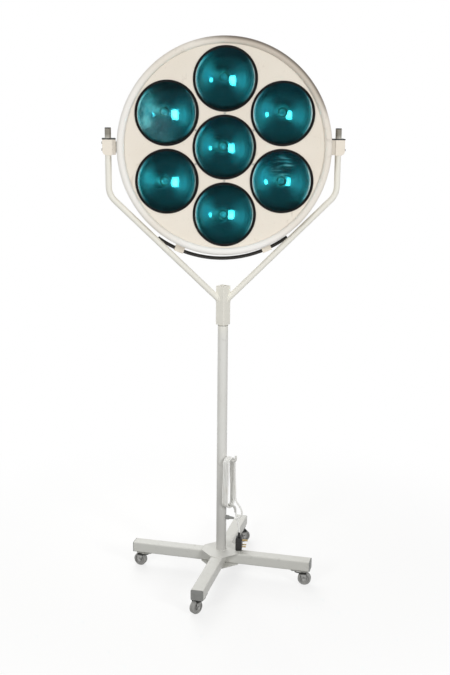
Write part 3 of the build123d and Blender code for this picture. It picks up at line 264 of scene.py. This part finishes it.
def head_parts(s):
    """Distance right of the pivots' middle, distance above it, and radius, in the head's plane."""
    parts = s.parts(s.mapped(shift=(0, 0, -PIVOT.z), turn=(0, 0, -YOKE_TURN)))
    across, up = parts["X"], parts["Z"]
    return across, up, s.length(across, up)


def enamel(name, colour, shade, grime, roughness=0.42):
    """Sprayed enamel: cloudy tone, fine specks, orange peel, scuffs and worn edges."""
    s = Surface(name, colour, roughness)
    s.tint(s.mask(s.noise(5.0, 4.0), 0.38, 0.66), shade, 0.45)
    s.tint(s.mask(s.noise(34.0, 5.0, distortion=0.6), 0.60, 0.78), grime, 0.22)
    s.tint(s.mask(s.noise(420.0, 2.0), 0.69, 0.76), grime, 0.40)
    scuffs = s.mask(s.noise(26.0, 6.0, (1.0, 1.0, 0.16), 1.4), 0.66, 0.72)
    s.tint(scuffs, grime, 0.18)
    s.tint(s.product(s.edges(0.0015), s.mask(s.noise(120.0, 3.0), 0.45, 0.62)), grime, 0.5)
    s.gloss(s.noise(60.0, 4.0), roughness - 0.10, roughness + 0.12)
    s.bump(s.noise(700.0, 2.0), 0.10, 0.0004)
    s.bump(s.noise(45.0, 3.0), 0.06, 0.0015)
    s.set({"Coat Weight": 0.15, "Coat Roughness": 0.25})
    return s


def ivory_paint():
    return enamel("ivory_paint", rgb(241, 233, 220), rgb(235, 225, 210), rgb(160, 142, 118), 0.38)


def stand_paint():
    """Greyer enamel of the mast and yoke, with painted light towards the top, painted shade
    towards the floor, and darker round the tube ends.
    """
    s = enamel("stand_paint", rgb(233, 233, 229), rgb(225, 224, 218), rgb(138, 133, 120))
    height = s.math("ADD", s.part("Z"), s.product(s.noise(9.0, 4.0), 0.08))
    # painted light: lighter from the yoke block up
    s.tint(s.mask(height, 0.98, 1.06), rgb(247, 244, 232), 0.7)
    # painted shade: greyer towards the floor
    s.tint(s.mask(height, 0.62, 0.20), rgb(188, 187, 183), 0.85)
    # darker within a few centimetres of each tube end above the pivot blocks
    for point in POST_TOPS:
        s.tint(s.near(point, 0.020, 0.046), rgb(112, 106, 94), 0.85)
    return s


def grey_cream_paint():
    return enamel("grey_cream_paint", rgb(214, 214, 209), rgb(205, 204, 197), rgb(128, 124, 112))


def rim_paint():
    """Enamel of the rolled rim, with painted light on the left and at the bottom, and painted
    shade over the top and upper right.
    """
    s = enamel("rim_paint", rgb(242, 236, 226), rgb(235, 226, 212), rgb(120, 98, 74), 0.34)
    across, up, radius = head_parts(s)
    lean = s.math("ADD", s.product(up, 0.86), s.product(across, 0.51))
    drift = s.product(s.math("SUBTRACT", s.noise(14.0, 4.0), 0.5), 0.06)
    lean = s.math("ADD", lean, drift)
    # painted light: lighter on the left side of the rim
    s.tint(s.mask(across, -0.24, -0.34), rgb(250, 248, 244), 0.8)
    # painted shade: darker over the top and upper right, darkest in a brown band at the outer edge
    above = s.mask(lean, 0.235, 0.345)
    s.tint(above, rgb(196, 183, 168), 0.75)
    s.tint(s.product(above, s.mask(radius, 0.362, 0.376)), rgb(88, 74, 60), 0.9)
    # painted light: lighter along the bottom of the rim
    s.tint(s.mask(up, -0.26, -0.35), rgb(252, 251, 248), 0.85)
    return s


def shell_paint():
    """Enamel over a spun sheet, whose rings still show faintly round the dome's axis."""
    s = enamel("shell_paint", rgb(234, 228, 216), rgb(224, 216, 201), rgb(120, 108, 90), 0.44)
    radius = head_parts(s)[2]
    rings = s.math("SINE", s.product(radius, 900.0))
    s.bump(s.product(rings, s.noise(9.0, 2.0)), 0.10, 0.0006)
    return s


def black_paint():
    """Stoved black on the hand rail, rubbed to brown where hands take it."""
    s = Surface("black_paint", rgb(30, 27, 25), 0.38)
    worn = s.mask(s.noise(38.0, 6.0, distortion=0.8), 0.60, 0.72)
    s.tint(worn, rgb(96, 80, 66), 0.75)
    s.tint(s.mask(s.noise(300.0, 2.0), 0.66, 0.74), rgb(140, 132, 120), 0.5)
    s.gloss(worn, 0.34, 0.62)
    s.bump(worn, -0.2, 0.0002)
    return s


def metal(name, colour, dark, roughness, scale=90.0):
    """Plated or bare metal with a patchy tone, stains and fine scratches."""
    s = Surface(name, colour, roughness, 1.0)
    s.tint(s.mask(s.noise(scale, 5.0), 0.40, 0.66), dark, 0.55)
    s.tint(s.mask(s.noise(18.0, 4.0, distortion=1.0), 0.58, 0.74), dark, 0.5)
    s.gloss(s.noise(scale * 2, 3.0), roughness - 0.08, roughness + 0.16)
    s.bump(s.noise(260.0, 3.0, (1.0, 0.12, 1.0)), 0.12, 0.0002)
    return s


def cast_iron():
    return metal("cast_iron", rgb(110, 108, 104), rgb(60, 58, 55), 0.55)


def zinc_steel():
    return metal("zinc_steel", rgb(176, 176, 172), rgb(118, 116, 108), 0.34)


def fork_steel():
    """Dull pressed steel, with painted shade as a near-black band over its top, under the leg."""
    s = metal("fork_steel", rgb(168, 168, 166), rgb(130, 129, 126), 0.5)
    # painted shade: near black over the top of the fork, under the leg
    s.tint(s.mask(s.part("Z"), 0.040, 0.047), rgb(24, 23, 22), 0.92)
    return s


def brass():
    return metal("brass", rgb(206, 182, 132), rgb(142, 118, 80), 0.30)


def dusty(name, colour, dust, roughness, amount=0.35):
    """Rubber or moulded plastic with a fine grain and dust in patches."""
    s = Surface(name, colour, roughness)
    patches = s.mask(s.noise(55.0, 5.0, distortion=0.5), 0.46, 0.74)
    s.tint(patches, dust, amount)
    s.tint(s.mask(s.noise(520.0, 2.0), 0.64, 0.74), dust, 0.4)
    s.gloss(patches, roughness, min(1.0, roughness + 0.18))
    s.bump(s.noise(900.0, 2.0), 0.14, 0.0002)
    return s


def wheel_rubber():
    return dusty("wheel_rubber", rgb(160, 160, 158), rgb(192, 190, 184), 0.62)


def gasket_rubber():
    s = dusty("gasket_rubber", rgb(14, 14, 14), rgb(70, 68, 64), 0.52, 0.14)
    s.set({"Specular IOR Level": 0.15})
    return s


def nylon():
    return dusty("nylon", rgb(222, 216, 200), rgb(180, 172, 154), 0.45)


def black_plastic():
    return dusty("black_plastic", rgb(20, 20, 20), rgb(74, 72, 68), 0.36, 0.2)


def grey_plastic():
    return dusty("grey_plastic", rgb(142, 143, 141), rgb(116, 116, 112), 0.5)


def cord_white():
    """White flex, a little yellowed, with grey finger marks along it."""
    s = Surface("cord_white", rgb(250, 250, 247), 0.42)
    s.tint(s.mask(s.noise(16.0, 4.0), 0.46, 0.72), rgb(236, 234, 226), 0.6)
    s.tint(s.mask(s.noise(90.0, 5.0, distortion=0.8), 0.62, 0.74), rgb(150, 148, 140), 0.45)
    s.gloss(s.noise(70.0, 3.0), 0.34, 0.55)
    s.bump(s.noise(420.0, 2.0), 0.08, 0.0002)
    return s


def ceramic_holder():
    """Lampholders, browned by the heat of their bulbs."""
    return dusty("ceramic_holder", rgb(104, 94, 80), rgb(70, 62, 52), 0.5)


def clear_glass():
    """Pearl glass of the bulbs, greyed by use."""
    s = Surface("clear_glass", rgb(150, 156, 154), 0.45)
    s.tint(s.mask(s.noise(120.0, 4.0), 0.45, 0.7), rgb(116, 122, 120), 0.6)
    s.set({"Transmission Weight": 0.15, "IOR": 1.2})
    return s


def teal_glass(name="teal_glass"):
    """Heat-absorbing teal glass, with painted reflections as pale crescents at its edge to the
    sides, and painted shade in a dark ring at the gasket.
    """
    s = Surface(name, rgb(94, 182, 191), 0.02)
    s.set({"Transmission Weight": 1.0, "IOR": 1.12})
    wipes = s.mask(s.noise(14.0, 6.0, (1.0, 1.0, 5.0), 1.2), 0.58, 0.80)
    s.gloss(wipes, 0.02, 0.07)
    across, up = s.part("X"), s.part("Z")
    radius = s.length(across, up)
    # painted reflection: pale crescents just inside the edge to the left and right
    painted_edge_reflection = s.product(s.mask(radius, *EDGE_CRESCENT_RADII), s.mask(s.slant(across, up), 0.85, 0.30))
    s.tint(painted_edge_reflection, rgb(238, 242, 242), 0.9)
    # painted shade: a dark ring just inside the gasket lip
    s.tint(s.mask(radius, *GASKET_SHADE_RADII), rgb(10, 14, 14), 1.0)
    return s


def dusty_glass():
    """The upper left lens: hazed and speckled with dust, thickest to the left and low down."""
    s = teal_glass("dusty_glass")
    across, up = s.part("X"), s.part("Z")
    lean = s.math("ADD", across, s.product(up, 0.5))
    inside = s.mask(s.length(across, up), *DUST_LIMIT)
    side = s.product(s.mask(lean, 0.04, -0.06), inside)
    s.tint(side, rgb(122, 184, 192), 0.45)
    haze = s.mask(s.noise(36.0, 4.0), 0.30, 0.55)
    patch = s.product(s.near((-0.072, LENS_FRONT_Y, -0.030), 0.006, 0.036), haze, inside)
    s.tint(patch, rgb(140, 208, 210), 0.8)
    specks = s.mask(s.noise(190.0, 3.0), 0.47, 0.53)
    grey = s.product(s.near((-0.020, LENS_FRONT_Y, -0.050), 0.010, 0.062), specks, inside)
    s.tint(grey, rgb(122, 112, 128), 0.85)
    left = s.product(s.mask(s.noise(190.0, 3.0, (1.0, 1.0, 0.8)), 0.50, 0.56), side)
    s.tint(left, rgb(160, 198, 200), 0.7)
    drops = s.product(s.mask(s.noise(130.0, 2.0), 0.72, 0.76), inside)
    s.tint(drops, rgb(226, 234, 232), 0.8)
    thin_dust = s.product(s.math("MAXIMUM", grey, left), 0.45)
    dust = s.math("MAXIMUM", s.math("MAXIMUM", patch, drops), thin_dust)
    s.cloud(dust, 0.26)
    return s


def scratched_glass():
    """The lower right lens: fine pale scratches above its middle."""
    s = teal_glass("scratched_glass")
    lines = s.mask(s.noise(46.0, 4.0, (0.4, 1.0, 3.4), 0.9), 0.55, 0.62)
    scratches = s.product(lines, s.near((0.0, LENS_FRONT_Y, 0.048), 0.022, 0.056))
    s.tint(scratches, rgb(196, 220, 220), 0.7)
    s.cloud(scratches, 0.24)
    return s


def reflector_mirror():
    """Spun reflector whose reflections are painted: bright at the bulb and out to both sides, dark
    in lobes above and below, darker in an outer ring, with pale crescents near the rim to the
    sides.
    """
    s = Surface("reflector_mirror", rgb(238, 240, 238), 0.12, 1.0)
    drift = s.product(s.math("SUBTRACT", s.noise(18.0, 4.0), 0.5), 0.035)
    across = s.part("X")
    up = s.math("ADD", s.math("ADD", s.part("Z"), drift), s.product(across, 0.2))
    radius = s.length(across, s.part("Z"))
    slant = s.slant(across, up)
    # painted reflection: darker in a ring towards the rim
    s.tint(s.mask(radius, *MIRROR_DARK_RING), rgb(176, 178, 176), 0.8)
    # painted reflection: dark lobes above and below the bulb
    painted_dark_lobes = s.product(s.mask(slant, 0.05, 0.95), s.mask(radius, *MIRROR_DARK_LOBES))
    s.tint(painted_dark_lobes, rgb(100, 102, 102), 1.0)
    waves = s.math("ADD", s.product(radius, 420.0), s.product(drift, 260.0))
    s.tint(s.mask(s.math("SINE", waves), 0.1, 1.0), rgb(150, 154, 154), 0.22)
    # painted reflection: pale crescents near the rim to the left and right
    edge = s.product(s.mask(radius, *MIRROR_PALE_CRESCENT), s.mask(slant, 0.90, 0.40))
    s.tint(edge, rgb(244, 244, 242), 0.95)
    s.gloss(s.noise(24.0, 4.0), 0.10, 0.20)
    return s


BUILDERS = [
    ivory_paint, stand_paint, grey_cream_paint, rim_paint, shell_paint, black_paint, cast_iron,
    zinc_steel, fork_steel, brass, wheel_rubber, gasket_rubber, nylon, black_plastic, grey_plastic,
    cord_white, ceramic_holder, clear_glass, teal_glass, dusty_glass, scratched_glass,
    reflector_mirror,
]
MATERIALS = {build.__name__: build().material for build in BUILDERS}
STAND_NODES = ("mast_tube", "yoke_socket", "yoke_arm_left", "yoke_arm_right", "cord_hooks")
LENS_GLASS = {"upper_left": "dusty_glass", "lower_right": "scratched_glass"}


def dress_nodes():
    """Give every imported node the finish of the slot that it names."""
    for name, node in NODES.items():
        for slot in node.material_slots:
            finish = "stand_paint" if name in STAND_NODES else slot.material.name.split(".")[0]
            slot.material = MATERIALS[finish]


# Meshes


def revolved(name, profile):
    """Mesh turned about the Y axis from a closed loop of (radius, y)."""
    mesh = bpy.data.meshes.new(name)
    work = bmesh.new()
    rings = []
    for step in range(ROUND_STEPS):
        angle = 2 * math.pi * step / ROUND_STEPS
        ring = [work.verts.new((r * math.cos(angle), y, r * math.sin(angle))) for r, y in profile]
        rings.append(ring)
    for step in range(ROUND_STEPS):
        here, there = rings[step], rings[(step + 1) % ROUND_STEPS]
        for index in range(len(profile)):
            after = (index + 1) % len(profile)
            work.faces.new((here[index], here[after], there[after], there[index]))
    bmesh.ops.remove_doubles(work, verts=work.verts, dist=MERGE_DISTANCE)
    bmesh.ops.recalc_face_normals(work, faces=work.faces)
    work.to_mesh(mesh)
    work.free()
    mesh.shade_smooth()
    mesh.set_sharp_from_angle(angle=SHARP_ANGLE)
    return mesh


def new_object(name, data):
    piece = bpy.data.objects.new(name, data)
    bpy.context.scene.collection.objects.link(piece)
    return piece


def placed(name, data, place, material, body):
    """Put a shape on a body, with a finish."""
    piece = new_object(name, data)
    piece.matrix_world = place
    piece.data.materials.append(MATERIALS[material])
    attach(piece, body)
    return piece


# Lens units


def lens_places():
    """Name and place of each lens unit: the middle one, then the ring from the top leftwards."""
    to_centre = Matrix.Translation((0, DISH_CENTRE_Y, 0))
    places = {"middle": HEAD_PLACE}
    ring = ("top", "upper_left", "lower_left", "bottom", "lower_right", "upper_right")
    for index, name in enumerate(ring):
        angle = math.radians(90 + 360 / len(ring) * index)
        swing = Matrix.Rotation(LENS_AIM, 4, Vector((math.sin(angle), 0, -math.cos(angle))))
        places[name] = HEAD_PLACE @ to_centre @ swing @ to_centre.inverted()
    return places


def glass_profile():
    """Crowned front, a flat ledge out to a straight rim, flat back."""
    back = LENS_FRONT_Y + GLASS_THICKNESS
    ball = (GASKET_LIP_RADIUS**2 + GLASS_CROWN**2) / (2 * GLASS_CROWN)
    points = []
    for step in range(GLASS_STEPS + 1):
        radius = GASKET_LIP_RADIUS * step / GLASS_STEPS
        points.append((radius, LENS_FRONT_Y - GLASS_CROWN + ball - math.sqrt(ball**2 - radius**2)))
    points += [(GLASS_RADIUS, LENS_FRONT_Y), (GLASS_RADIUS, back), (0.0, back)]
    return points


def reflector_profile():
    """Bowl with an even wall, open at the neck, and a flange at its front."""
    inner = []
    outer = []
    for step in range(REFLECTOR_STEPS + 1):
        share = step / REFLECTOR_STEPS
        radius = REFLECTOR_NECK + (REFLECTOR_RADIUS - REFLECTOR_NECK) * share
        depth = REFLECTOR_DEPTH * (1 - (radius / REFLECTOR_RADIUS) ** 2)
        inner.append((radius, REFLECTOR_SEAT_Y + depth))
        outer.append((radius + REFLECTOR_WALL_ACROSS, REFLECTOR_SEAT_Y + depth + REFLECTOR_WALL))
    heights = (REFLECTOR_SEAT_Y, REFLECTOR_SEAT_Y + REFLECTOR_WALL)
    flange = [(REFLECTOR_FLANGE_RADIUS, y) for y in heights]
    return inner + flange + outer[::-1]


def build_lens_units():
    """A glass and a reflector at each lens place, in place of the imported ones."""
    units = []
    glass = revolved("lens_glass", glass_profile())
    bowl = revolved("reflector_bowl", reflector_profile())
    for name, place in lens_places().items():
        finish = LENS_GLASS.get(name, "teal_glass")
        lens = placed(f"lens_{name}", glass.copy(), place, finish, "head")
        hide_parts("lenses")
        reflector = placed(f"reflector_{name}", bowl.copy(), place, "reflector_mirror", "head")
        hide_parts("reflectors")
        units += [lens, reflector]
    return units


# Weld beads

BEAD_RADIUS = 0.0021
BEAD_STEP = 0.0011
BEAD_SIDES = 8
BEAD_WAVE = 0.0030
BEAD_RIPPLE = 0.10
BEAD_TAPER = 0.45
TOUCH_DISTANCE = 0.0004
SEAM_ANGLE = math.radians(25)


def welded_mesh(name):
    """A node's mesh with its doubled corners joined."""
    work = bmesh.new()
    work.from_mesh(NODES[name].data)
    bmesh.ops.remove_doubles(work, verts=work.verts, dist=MERGE_DISTANCE)
    return work


def seam_runs(name, other):
    """Runs of a node's sharp edges that lie on another node, as lists of points."""
    work = welded_mesh(name)
    touched = welded_mesh(other)
    surface = BVHTree.FromBMesh(touched)

    def touches(place):
        return surface.find_nearest(place, TOUCH_DISTANCE)[0] is not None

    links = {}
    for edge in work.edges:
        if len(edge.link_faces) != 2 or edge.calc_face_angle() < SEAM_ANGLE:
            continue
        first, second = edge.verts
        middle = (first.co + second.co) / 2
        if touches(first.co) and touches(second.co) and touches(middle):
            links.setdefault(first.index, set()).add(second.index)
            links.setdefault(second.index, set()).add(first.index)
    places = [vert.co.copy() for vert in work.verts]
    work.free()
    touched.free()
    runs = []
    while links:
        start = min(links, key=lambda index: (len(links[index]) != 1, index))
        run = [start]
        while links.get(run[-1]):
            after = min(links[run[-1]])
            links[run[-1]].discard(after)
            links[after].discard(run[-1])
            run.append(after)
        links = {index: ways for index, ways in links.items() if ways}
        runs.append([places[index] for index in run])
    return runs


def resampled(run, step):
    """Points at an even distance along a run of points."""
    lengths = [0.0]
    for before, after in zip(run, run[1:]):
        lengths.append(lengths[-1] + (after - before).length)
    count = max(2, round(lengths[-1] / step))
    points = []
    piece = 0
    for index in range(count + 1):
        wanted = lengths[-1] * index / count
        while piece < len(run) - 2 and lengths[piece + 1] < wanted:
            piece += 1
        span = max(lengths[piece + 1] - lengths[piece], SHORTEST)
        share = min(1.0, (wanted - lengths[piece]) / span)
        points.append(run[piece].lerp(run[piece + 1], share))
    return points


def bead_mesh(name, runs):
    """Rippled beads of laid weld metal along runs of points, closed where a run closes."""
    mesh = bpy.data.meshes.new(name)
    work = bmesh.new()
    for run in runs:
        closed = (run[0] - run[-1]).length < MERGE_DISTANCE
        points = resampled(run, BEAD_STEP)
        if closed:
            points.pop()
        rings = []
        for index, point in enumerate(points):
            last = index == len(points) - 1
            before = point if index == 0 and not closed else points[index - 1]
            after = point if last and not closed else points[(index + 1) % len(points)]
            along = (after - before).normalized()
            upright = Vector((0, 0, 1)) if abs(along.z) < 0.9 else Vector((1, 0, 0))
            side = along.cross(upright).normalized()
            over = side.cross(along)
            wave = math.sin(2 * math.pi * index * BEAD_STEP / BEAD_WAVE)
            radius = BEAD_RADIUS * (1 + BEAD_RIPPLE * wave)
            if not closed and (index == 0 or last):
                radius *= BEAD_TAPER
            ring = []
            for corner in range(BEAD_SIDES):
                angle = 2 * math.pi * corner / BEAD_SIDES
                spoke = math.cos(angle) * side + math.sin(angle) * over
                ring.append(work.verts.new(point + radius * spoke))
            rings.append(ring)
        pairs = list(zip(rings, rings[1:])) + ([(rings[-1], rings[0])] if closed else [])
        for here, there in pairs:
            for corner in range(BEAD_SIDES):
                beyond = (corner + 1) % BEAD_SIDES
                work.faces.new((here[corner], here[beyond], there[beyond], there[corner]))
        if not closed:
            work.faces.new(rings[0])
            work.faces.new(rings[-1][::-1])
    bmesh.ops.recalc_face_normals(work, faces=work.faces)
    work.to_mesh(mesh)
    work.free()
    mesh.shade_smooth()
    return mesh


def run_length(run):
    return sum((after - before).length for before, after in zip(run, run[1:]))


def hub_seams():
    """The four edges of the upper hub plate that cross the legs."""
    low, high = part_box("hub_plate_top")
    leg_low, leg_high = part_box("leg_front")
    half = (leg_high[0] - leg_low[0]) / 2 - 2 * BEAD_RADIUS
    ends = [Vector((high[0], way * half, low[2])) for way in (-1, 1)]
    turns = [Matrix.Rotation(math.radians(90 * quarter), 3, "Z") for quarter in range(4)]
    return [[turn @ end for end in ends] for turn in turns]


def build_beads():
    """Weld metal round each tube at the yoke block, round the mast's foot and over the legs."""
    still = Matrix.Identity(4)
    for name in ("left", "right"):
        outline = max(seam_runs(f"yoke_arm_{name}", "yoke_socket"), key=run_length)
        mesh = bead_mesh(f"weld_arm_{name}", [outline])
        placed(f"weld_arm_{name}", mesh, still, "stand_paint", "yoke")
    collar = max(seam_runs("hub_plate_top", "mast_tube"), key=lambda run: run[0].z)
    mesh = bead_mesh("weld_base", [collar] + hub_seams())
    placed("weld_base", mesh, still, "grey_cream_paint", "base")


# Cord

HANK_TURNS = 4
HANK_PITCH = 0.0071
HANK_HALF_WIDTH = 0.020
HANK_TOP = 0.466
HANK_BOTTOM = 0.310
HANK_START = 0.330
HANK_INNER = 0.0229
HANK_STEP_FROM = 0.358
HANK_STEP_TO = 0.418
HANK_DIRECTION = math.radians(-25.0)
GLAND_DIRECTION = math.radians(-4.0)
GLAND_BOOT_TIP = 0.05105
LEAD_RISE = 1.3 * CORD_DIAMETER
TAIL_REACH = 2.85 * CORD_DIAMETER
BEND_STEP = math.radians(45)


def at_hank(radial, across, z):
    """Place given outwards from the mast, across the hank and up."""
    return Matrix.Rotation(HANK_DIRECTION, 3, "Z") @ Vector((radial, across, z))


def lead_points():
    """From the gland's boot round and up to the hank."""
    route = [
        (GLAND_BOOT_TIP, 0.240),
        (0.0615, 0.240),
        (0.0735, 0.2446),
        (0.0815, 0.2555),
        (0.0825, 0.2695),
        (0.0775, 0.2835),
        (0.0685, 0.2965),
        (0.0595, 0.309),
    ]
    turn = Matrix.Rotation(GLAND_DIRECTION, 3, "Z")
    points = [turn @ Vector((radial, 0, z)) for radial, z in route]
    start = at_hank(HANK_INNER + HANK_TURNS * HANK_PITCH, HANK_HALF_WIDTH, HANK_START)
    return points + [start - Vector((0, 0, LEAD_RISE)), start]


def hank_points():
    """Turns round the two hooks from the outside in, with four points outside each bend."""
    points = []
    radial = HANK_INNER + HANK_TURNS * HANK_PITCH
    outside = HANK_HALF_WIDTH / math.cos(BEND_STEP / 2)
    beside = outside * math.sin(BEND_STEP / 2)
    for turn in range(HANK_TURNS):
        for way, centre in ((1, HANK_TOP), (-1, HANK_BOTTOM)):
            steps = (HANK_STEP_FROM, HANK_STEP_TO)[::way]
            points.append(at_hank(radial, way * HANK_HALF_WIDTH, steps[0]))
            radial -= HANK_PITCH / 2
            points.append(at_hank(radial, way * HANK_HALF_WIDTH, steps[1]))
            points.append(at_hank(radial, way * HANK_HALF_WIDTH, centre - way * beside))
            last = turn == HANK_TURNS - 1 and way == -1
            for step in range(2 if last else 4):
                angle = BEND_STEP * (step + 0.5)
                across = way * outside * math.cos(angle)
                points.append(at_hank(radial, across, centre + way * outside * math.sin(angle)))
            if not last:
                points.append(at_hank(radial, -way * HANK_HALF_WIDTH, centre - way * beside))
    return points


def tail_points():
    """From the foot of the hank down to the plug."""
    foot = HANK_BOTTOM - HANK_HALF_WIDTH
    start = at_hank(HANK_INNER, CORD_DIAMETER, foot)
    after = at_hank(HANK_INNER, TAIL_REACH, foot)
    route = [
        (0.0350, 0.0176, 0.2852),
        (0.0426, 0.0228, 0.2762),
        (0.0482, 0.0242, 0.2626),
        (0.0524, 0.0238, 0.246),
        (0.0580, 0.0232, 0.221),
        (0.0634, 0.0224, 0.197),
        (0.0660, 0.0210, 0.1833),
        (0.0660, 0.0210, 0.1733),
    ]
    return [start, after] + [Vector(point) for point in route]


def build_cord():
    """One smooth curve from the gland's boot round the hooks to the plug's boot."""
    points = lead_points() + hank_points() + tail_points()
    curve = bpy.data.curves.new("cord", "CURVE")
    curve.dimensions = "3D"
    spline = curve.splines.new("NURBS")
    spline.points.add(len(points) - 1)
    for target, point in zip(spline.points, points):
        target.co = (*point, 1.0)
    spline.order_u = 3
    spline.use_endpoint_u = True
    spline.resolution_u = 8
    curve.bevel_depth = CORD_DIAMETER / 2
    curve.bevel_resolution = 5
    curve.use_fill_caps = True
    cord = placed("cord", curve, Matrix.Identity(4), "cord_white", "base")
    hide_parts("cord_lead", "cord_hank", "cord_tail")


# Stage

CAMERA_PLACE = (0.9196, -3.6810, 1.8649)
CAMERA_YAW = math.radians(13.906)
CAMERA_PITCH = math.radians(13.636)
CAMERA_ROLL = math.radians(0.507)
CAMERA_LENS = 56.71
CAMERA_SENSOR = 36.0
FILL_COLOUR = (1, 0.99, 0.97, 1)
FILL_STRENGTH = 0.45
FLOOR_RADIUS = 9.0
FLOOR_STEPS = 96
FLOOR_BOUNCE = (0.24, 0.24, 0.235, 1)
FLOOR_SEEN = (0.97, 0.97, 0.96, 1)
FLOOR_ROUGHNESS = 0.9
FADE_FROM = 0.5
FADE_TO = 1.7
FADE_LEAST = 0.72


def build_camera():
    camera = bpy.data.cameras.new("camera")
    camera.lens = CAMERA_LENS
    camera.sensor_width = CAMERA_SENSOR
    rig = new_object("camera", camera)
    yaw = Matrix.Rotation(CAMERA_YAW, 4, "Z")
    pitch = Matrix.Rotation(math.radians(90) - CAMERA_PITCH, 4, "X")
    roll = Matrix.Rotation(CAMERA_ROLL, 4, "Z")
    rig.matrix_world = Matrix.Translation(CAMERA_PLACE) @ yaw @ pitch @ roll
    bpy.context.scene.camera = rig


def area_light(name, place, target, width, height, watts, seen_by=None):
    """Soft light on everything, or one whose reflection a few pieces alone show."""
    light = bpy.data.lights.new(name, "AREA")
    light.shape = "RECTANGLE"
    light.size = width
    light.size_y = height
    light.energy = watts
    lamp = new_object(name, light)
    turn = (Vector(target) - Vector(place)).to_track_quat("-Z", "Y")
    lamp.matrix_world = Matrix.Translation(place) @ turn.to_matrix().to_4x4()
    lamp.visible_camera = False
    lamp.visible_diffuse = seen_by is None
    lamp.visible_glossy = seen_by is not None
    lamp.visible_transmission = seen_by is not None
    lamp.light_linking.receiver_collection = seen_by


def build_lights(lens_units):
    """Two softboxes on the head, one on the base, one behind, and two glints in the lenses."""
    head, foot, middle = PIVOT, (0, -0.1, 0.08), (0, 0, 1.2)
    area_light("softbox_left", (-0.75, -2.75, 1.55), head, 0.55, 0.9, watts=27.0)
    area_light("softbox_right", (2.6, -1.9, 1.6), head, 0.5, 0.8, watts=38.0)
    area_light("base_light", (-0.5, 0.5, 1.2), foot, 0.8, 0.8, watts=4.5)
    area_light("back_light", (-1.2, 2.6, 1.9), middle, 1.2, 1.2, watts=30.0)
    lenses = bpy.data.collections.new("lens_units")
    for piece in lens_units:
        lenses.objects.link(piece)
    area_light("glint_right", (-0.445, -3.169, 1.85), head, 1.10, 1.85, watts=2900.0,
               seen_by=lenses)
    area_light("glint_left", (3.09, -0.83, 1.75), head, 0.35, 0.60, watts=60.0, seen_by=lenses)


def link_in(tree, node, sources):
    """Link outputs to a node's inputs, given by name or number."""
    for socket, source in sources.items():
        tree.links.new(source, node.inputs[socket])


def seen_rays(tree):
    """1 for camera, glossy and transmission rays, 0 for the rest."""
    paths = add_node(tree, "ShaderNodeLightPath")
    total = paths.outputs["Is Camera Ray"]
    for name in ("Is Glossy Ray", "Is Transmission Ray"):
        node = add_node(tree, "ShaderNodeMath", operation="MAXIMUM")
        link_in(tree, node, {0: total, 1: paths.outputs[name]})
        total = node.outputs["Value"]
    return total


def build_world():
    """Plain white as seen, and a softer warm fill as light."""
    world = bpy.data.worlds.new("world")
    bpy.context.scene.world = world
    world.use_nodes = True
    tree = world.node_tree
    seen = tree.nodes["Background"]
    seen.inputs["Color"].default_value = (1, 1, 1, 1)
    seen.inputs["Strength"].default_value = 1.0
    fill = add_node(tree, "ShaderNodeBackground")
    fill.inputs["Color"].default_value = FILL_COLOUR
    fill.inputs["Strength"].default_value = FILL_STRENGTH
    mix = add_node(tree, "ShaderNodeMixShader")
    shaders = {1: fill.outputs["Background"], 2: seen.outputs["Background"]}
    link_in(tree, mix, {"Fac": seen_rays(tree), **shaders})
    link_in(tree, tree.nodes["World Output"], {"Surface": mix.outputs["Shader"]})


def floor_material():
    """Pale floor that keeps the shadow near the object and turns plain white further out."""
    material = bpy.data.materials.new("floor")
    material.use_nodes = True
    tree = material.node_tree
    lit = tree.nodes["Principled BSDF"]
    lit.inputs["Roughness"].default_value = FLOOR_ROUGHNESS
    lit.inputs["Specular IOR Level"].default_value = 0.0
    seen = seen_rays(tree)
    shade = add_node(tree, "ShaderNodeMix", data_type="RGBA")
    shade.inputs[MIX_FIRST].default_value = FLOOR_BOUNCE
    shade.inputs[MIX_SECOND].default_value = FLOOR_SEEN
    link_in(tree, shade, {MIX_FACTOR: seen})
    link_in(tree, lit, {"Base Color": shade.outputs[MIX_RESULT]})
    place = add_node(tree, "ShaderNodeTexCoord")
    distance = add_node(tree, "ShaderNodeVectorMath", operation="LENGTH")
    link_in(tree, distance, {0: place.outputs["Object"]})
    away = add_node(tree, "ShaderNodeMapRange", interpolation_type="SMOOTHSTEP")
    away.inputs["From Min"].default_value = FADE_FROM
    away.inputs["From Max"].default_value = FADE_TO
    away.inputs["To Min"].default_value = FADE_LEAST
    link_in(tree, away, {"Value": distance.outputs["Value"]})
    share = add_node(tree, "ShaderNodeMath", operation="MULTIPLY")
    link_in(tree, share, {0: away.outputs["Result"], 1: seen})
    glow = add_node(tree, "ShaderNodeEmission")
    mix = add_node(tree, "ShaderNodeMixShader")
    shaders = {1: lit.outputs["BSDF"], 2: glow.outputs["Emission"]}
    link_in(tree, mix, {"Fac": share.outputs["Value"], **shaders})
    link_in(tree, tree.nodes["Material Output"], {"Surface": mix.outputs["Shader"]})
    return material


def build_floor():
    mesh = bpy.data.meshes.new("floor")
    work = bmesh.new()
    bmesh.ops.create_circle(work, cap_ends=True, radius=FLOOR_RADIUS, segments=FLOOR_STEPS)
    work.to_mesh(mesh)
    work.free()
    mesh.materials.append(floor_material())
    new_object("floor", mesh)


bpy.context.scene.view_settings.view_transform = "Standard"
dress_nodes()
lens_units = build_lens_units()
build_beads()
build_cord()
build_camera()
build_lights(lens_units)
build_world()
build_floor()
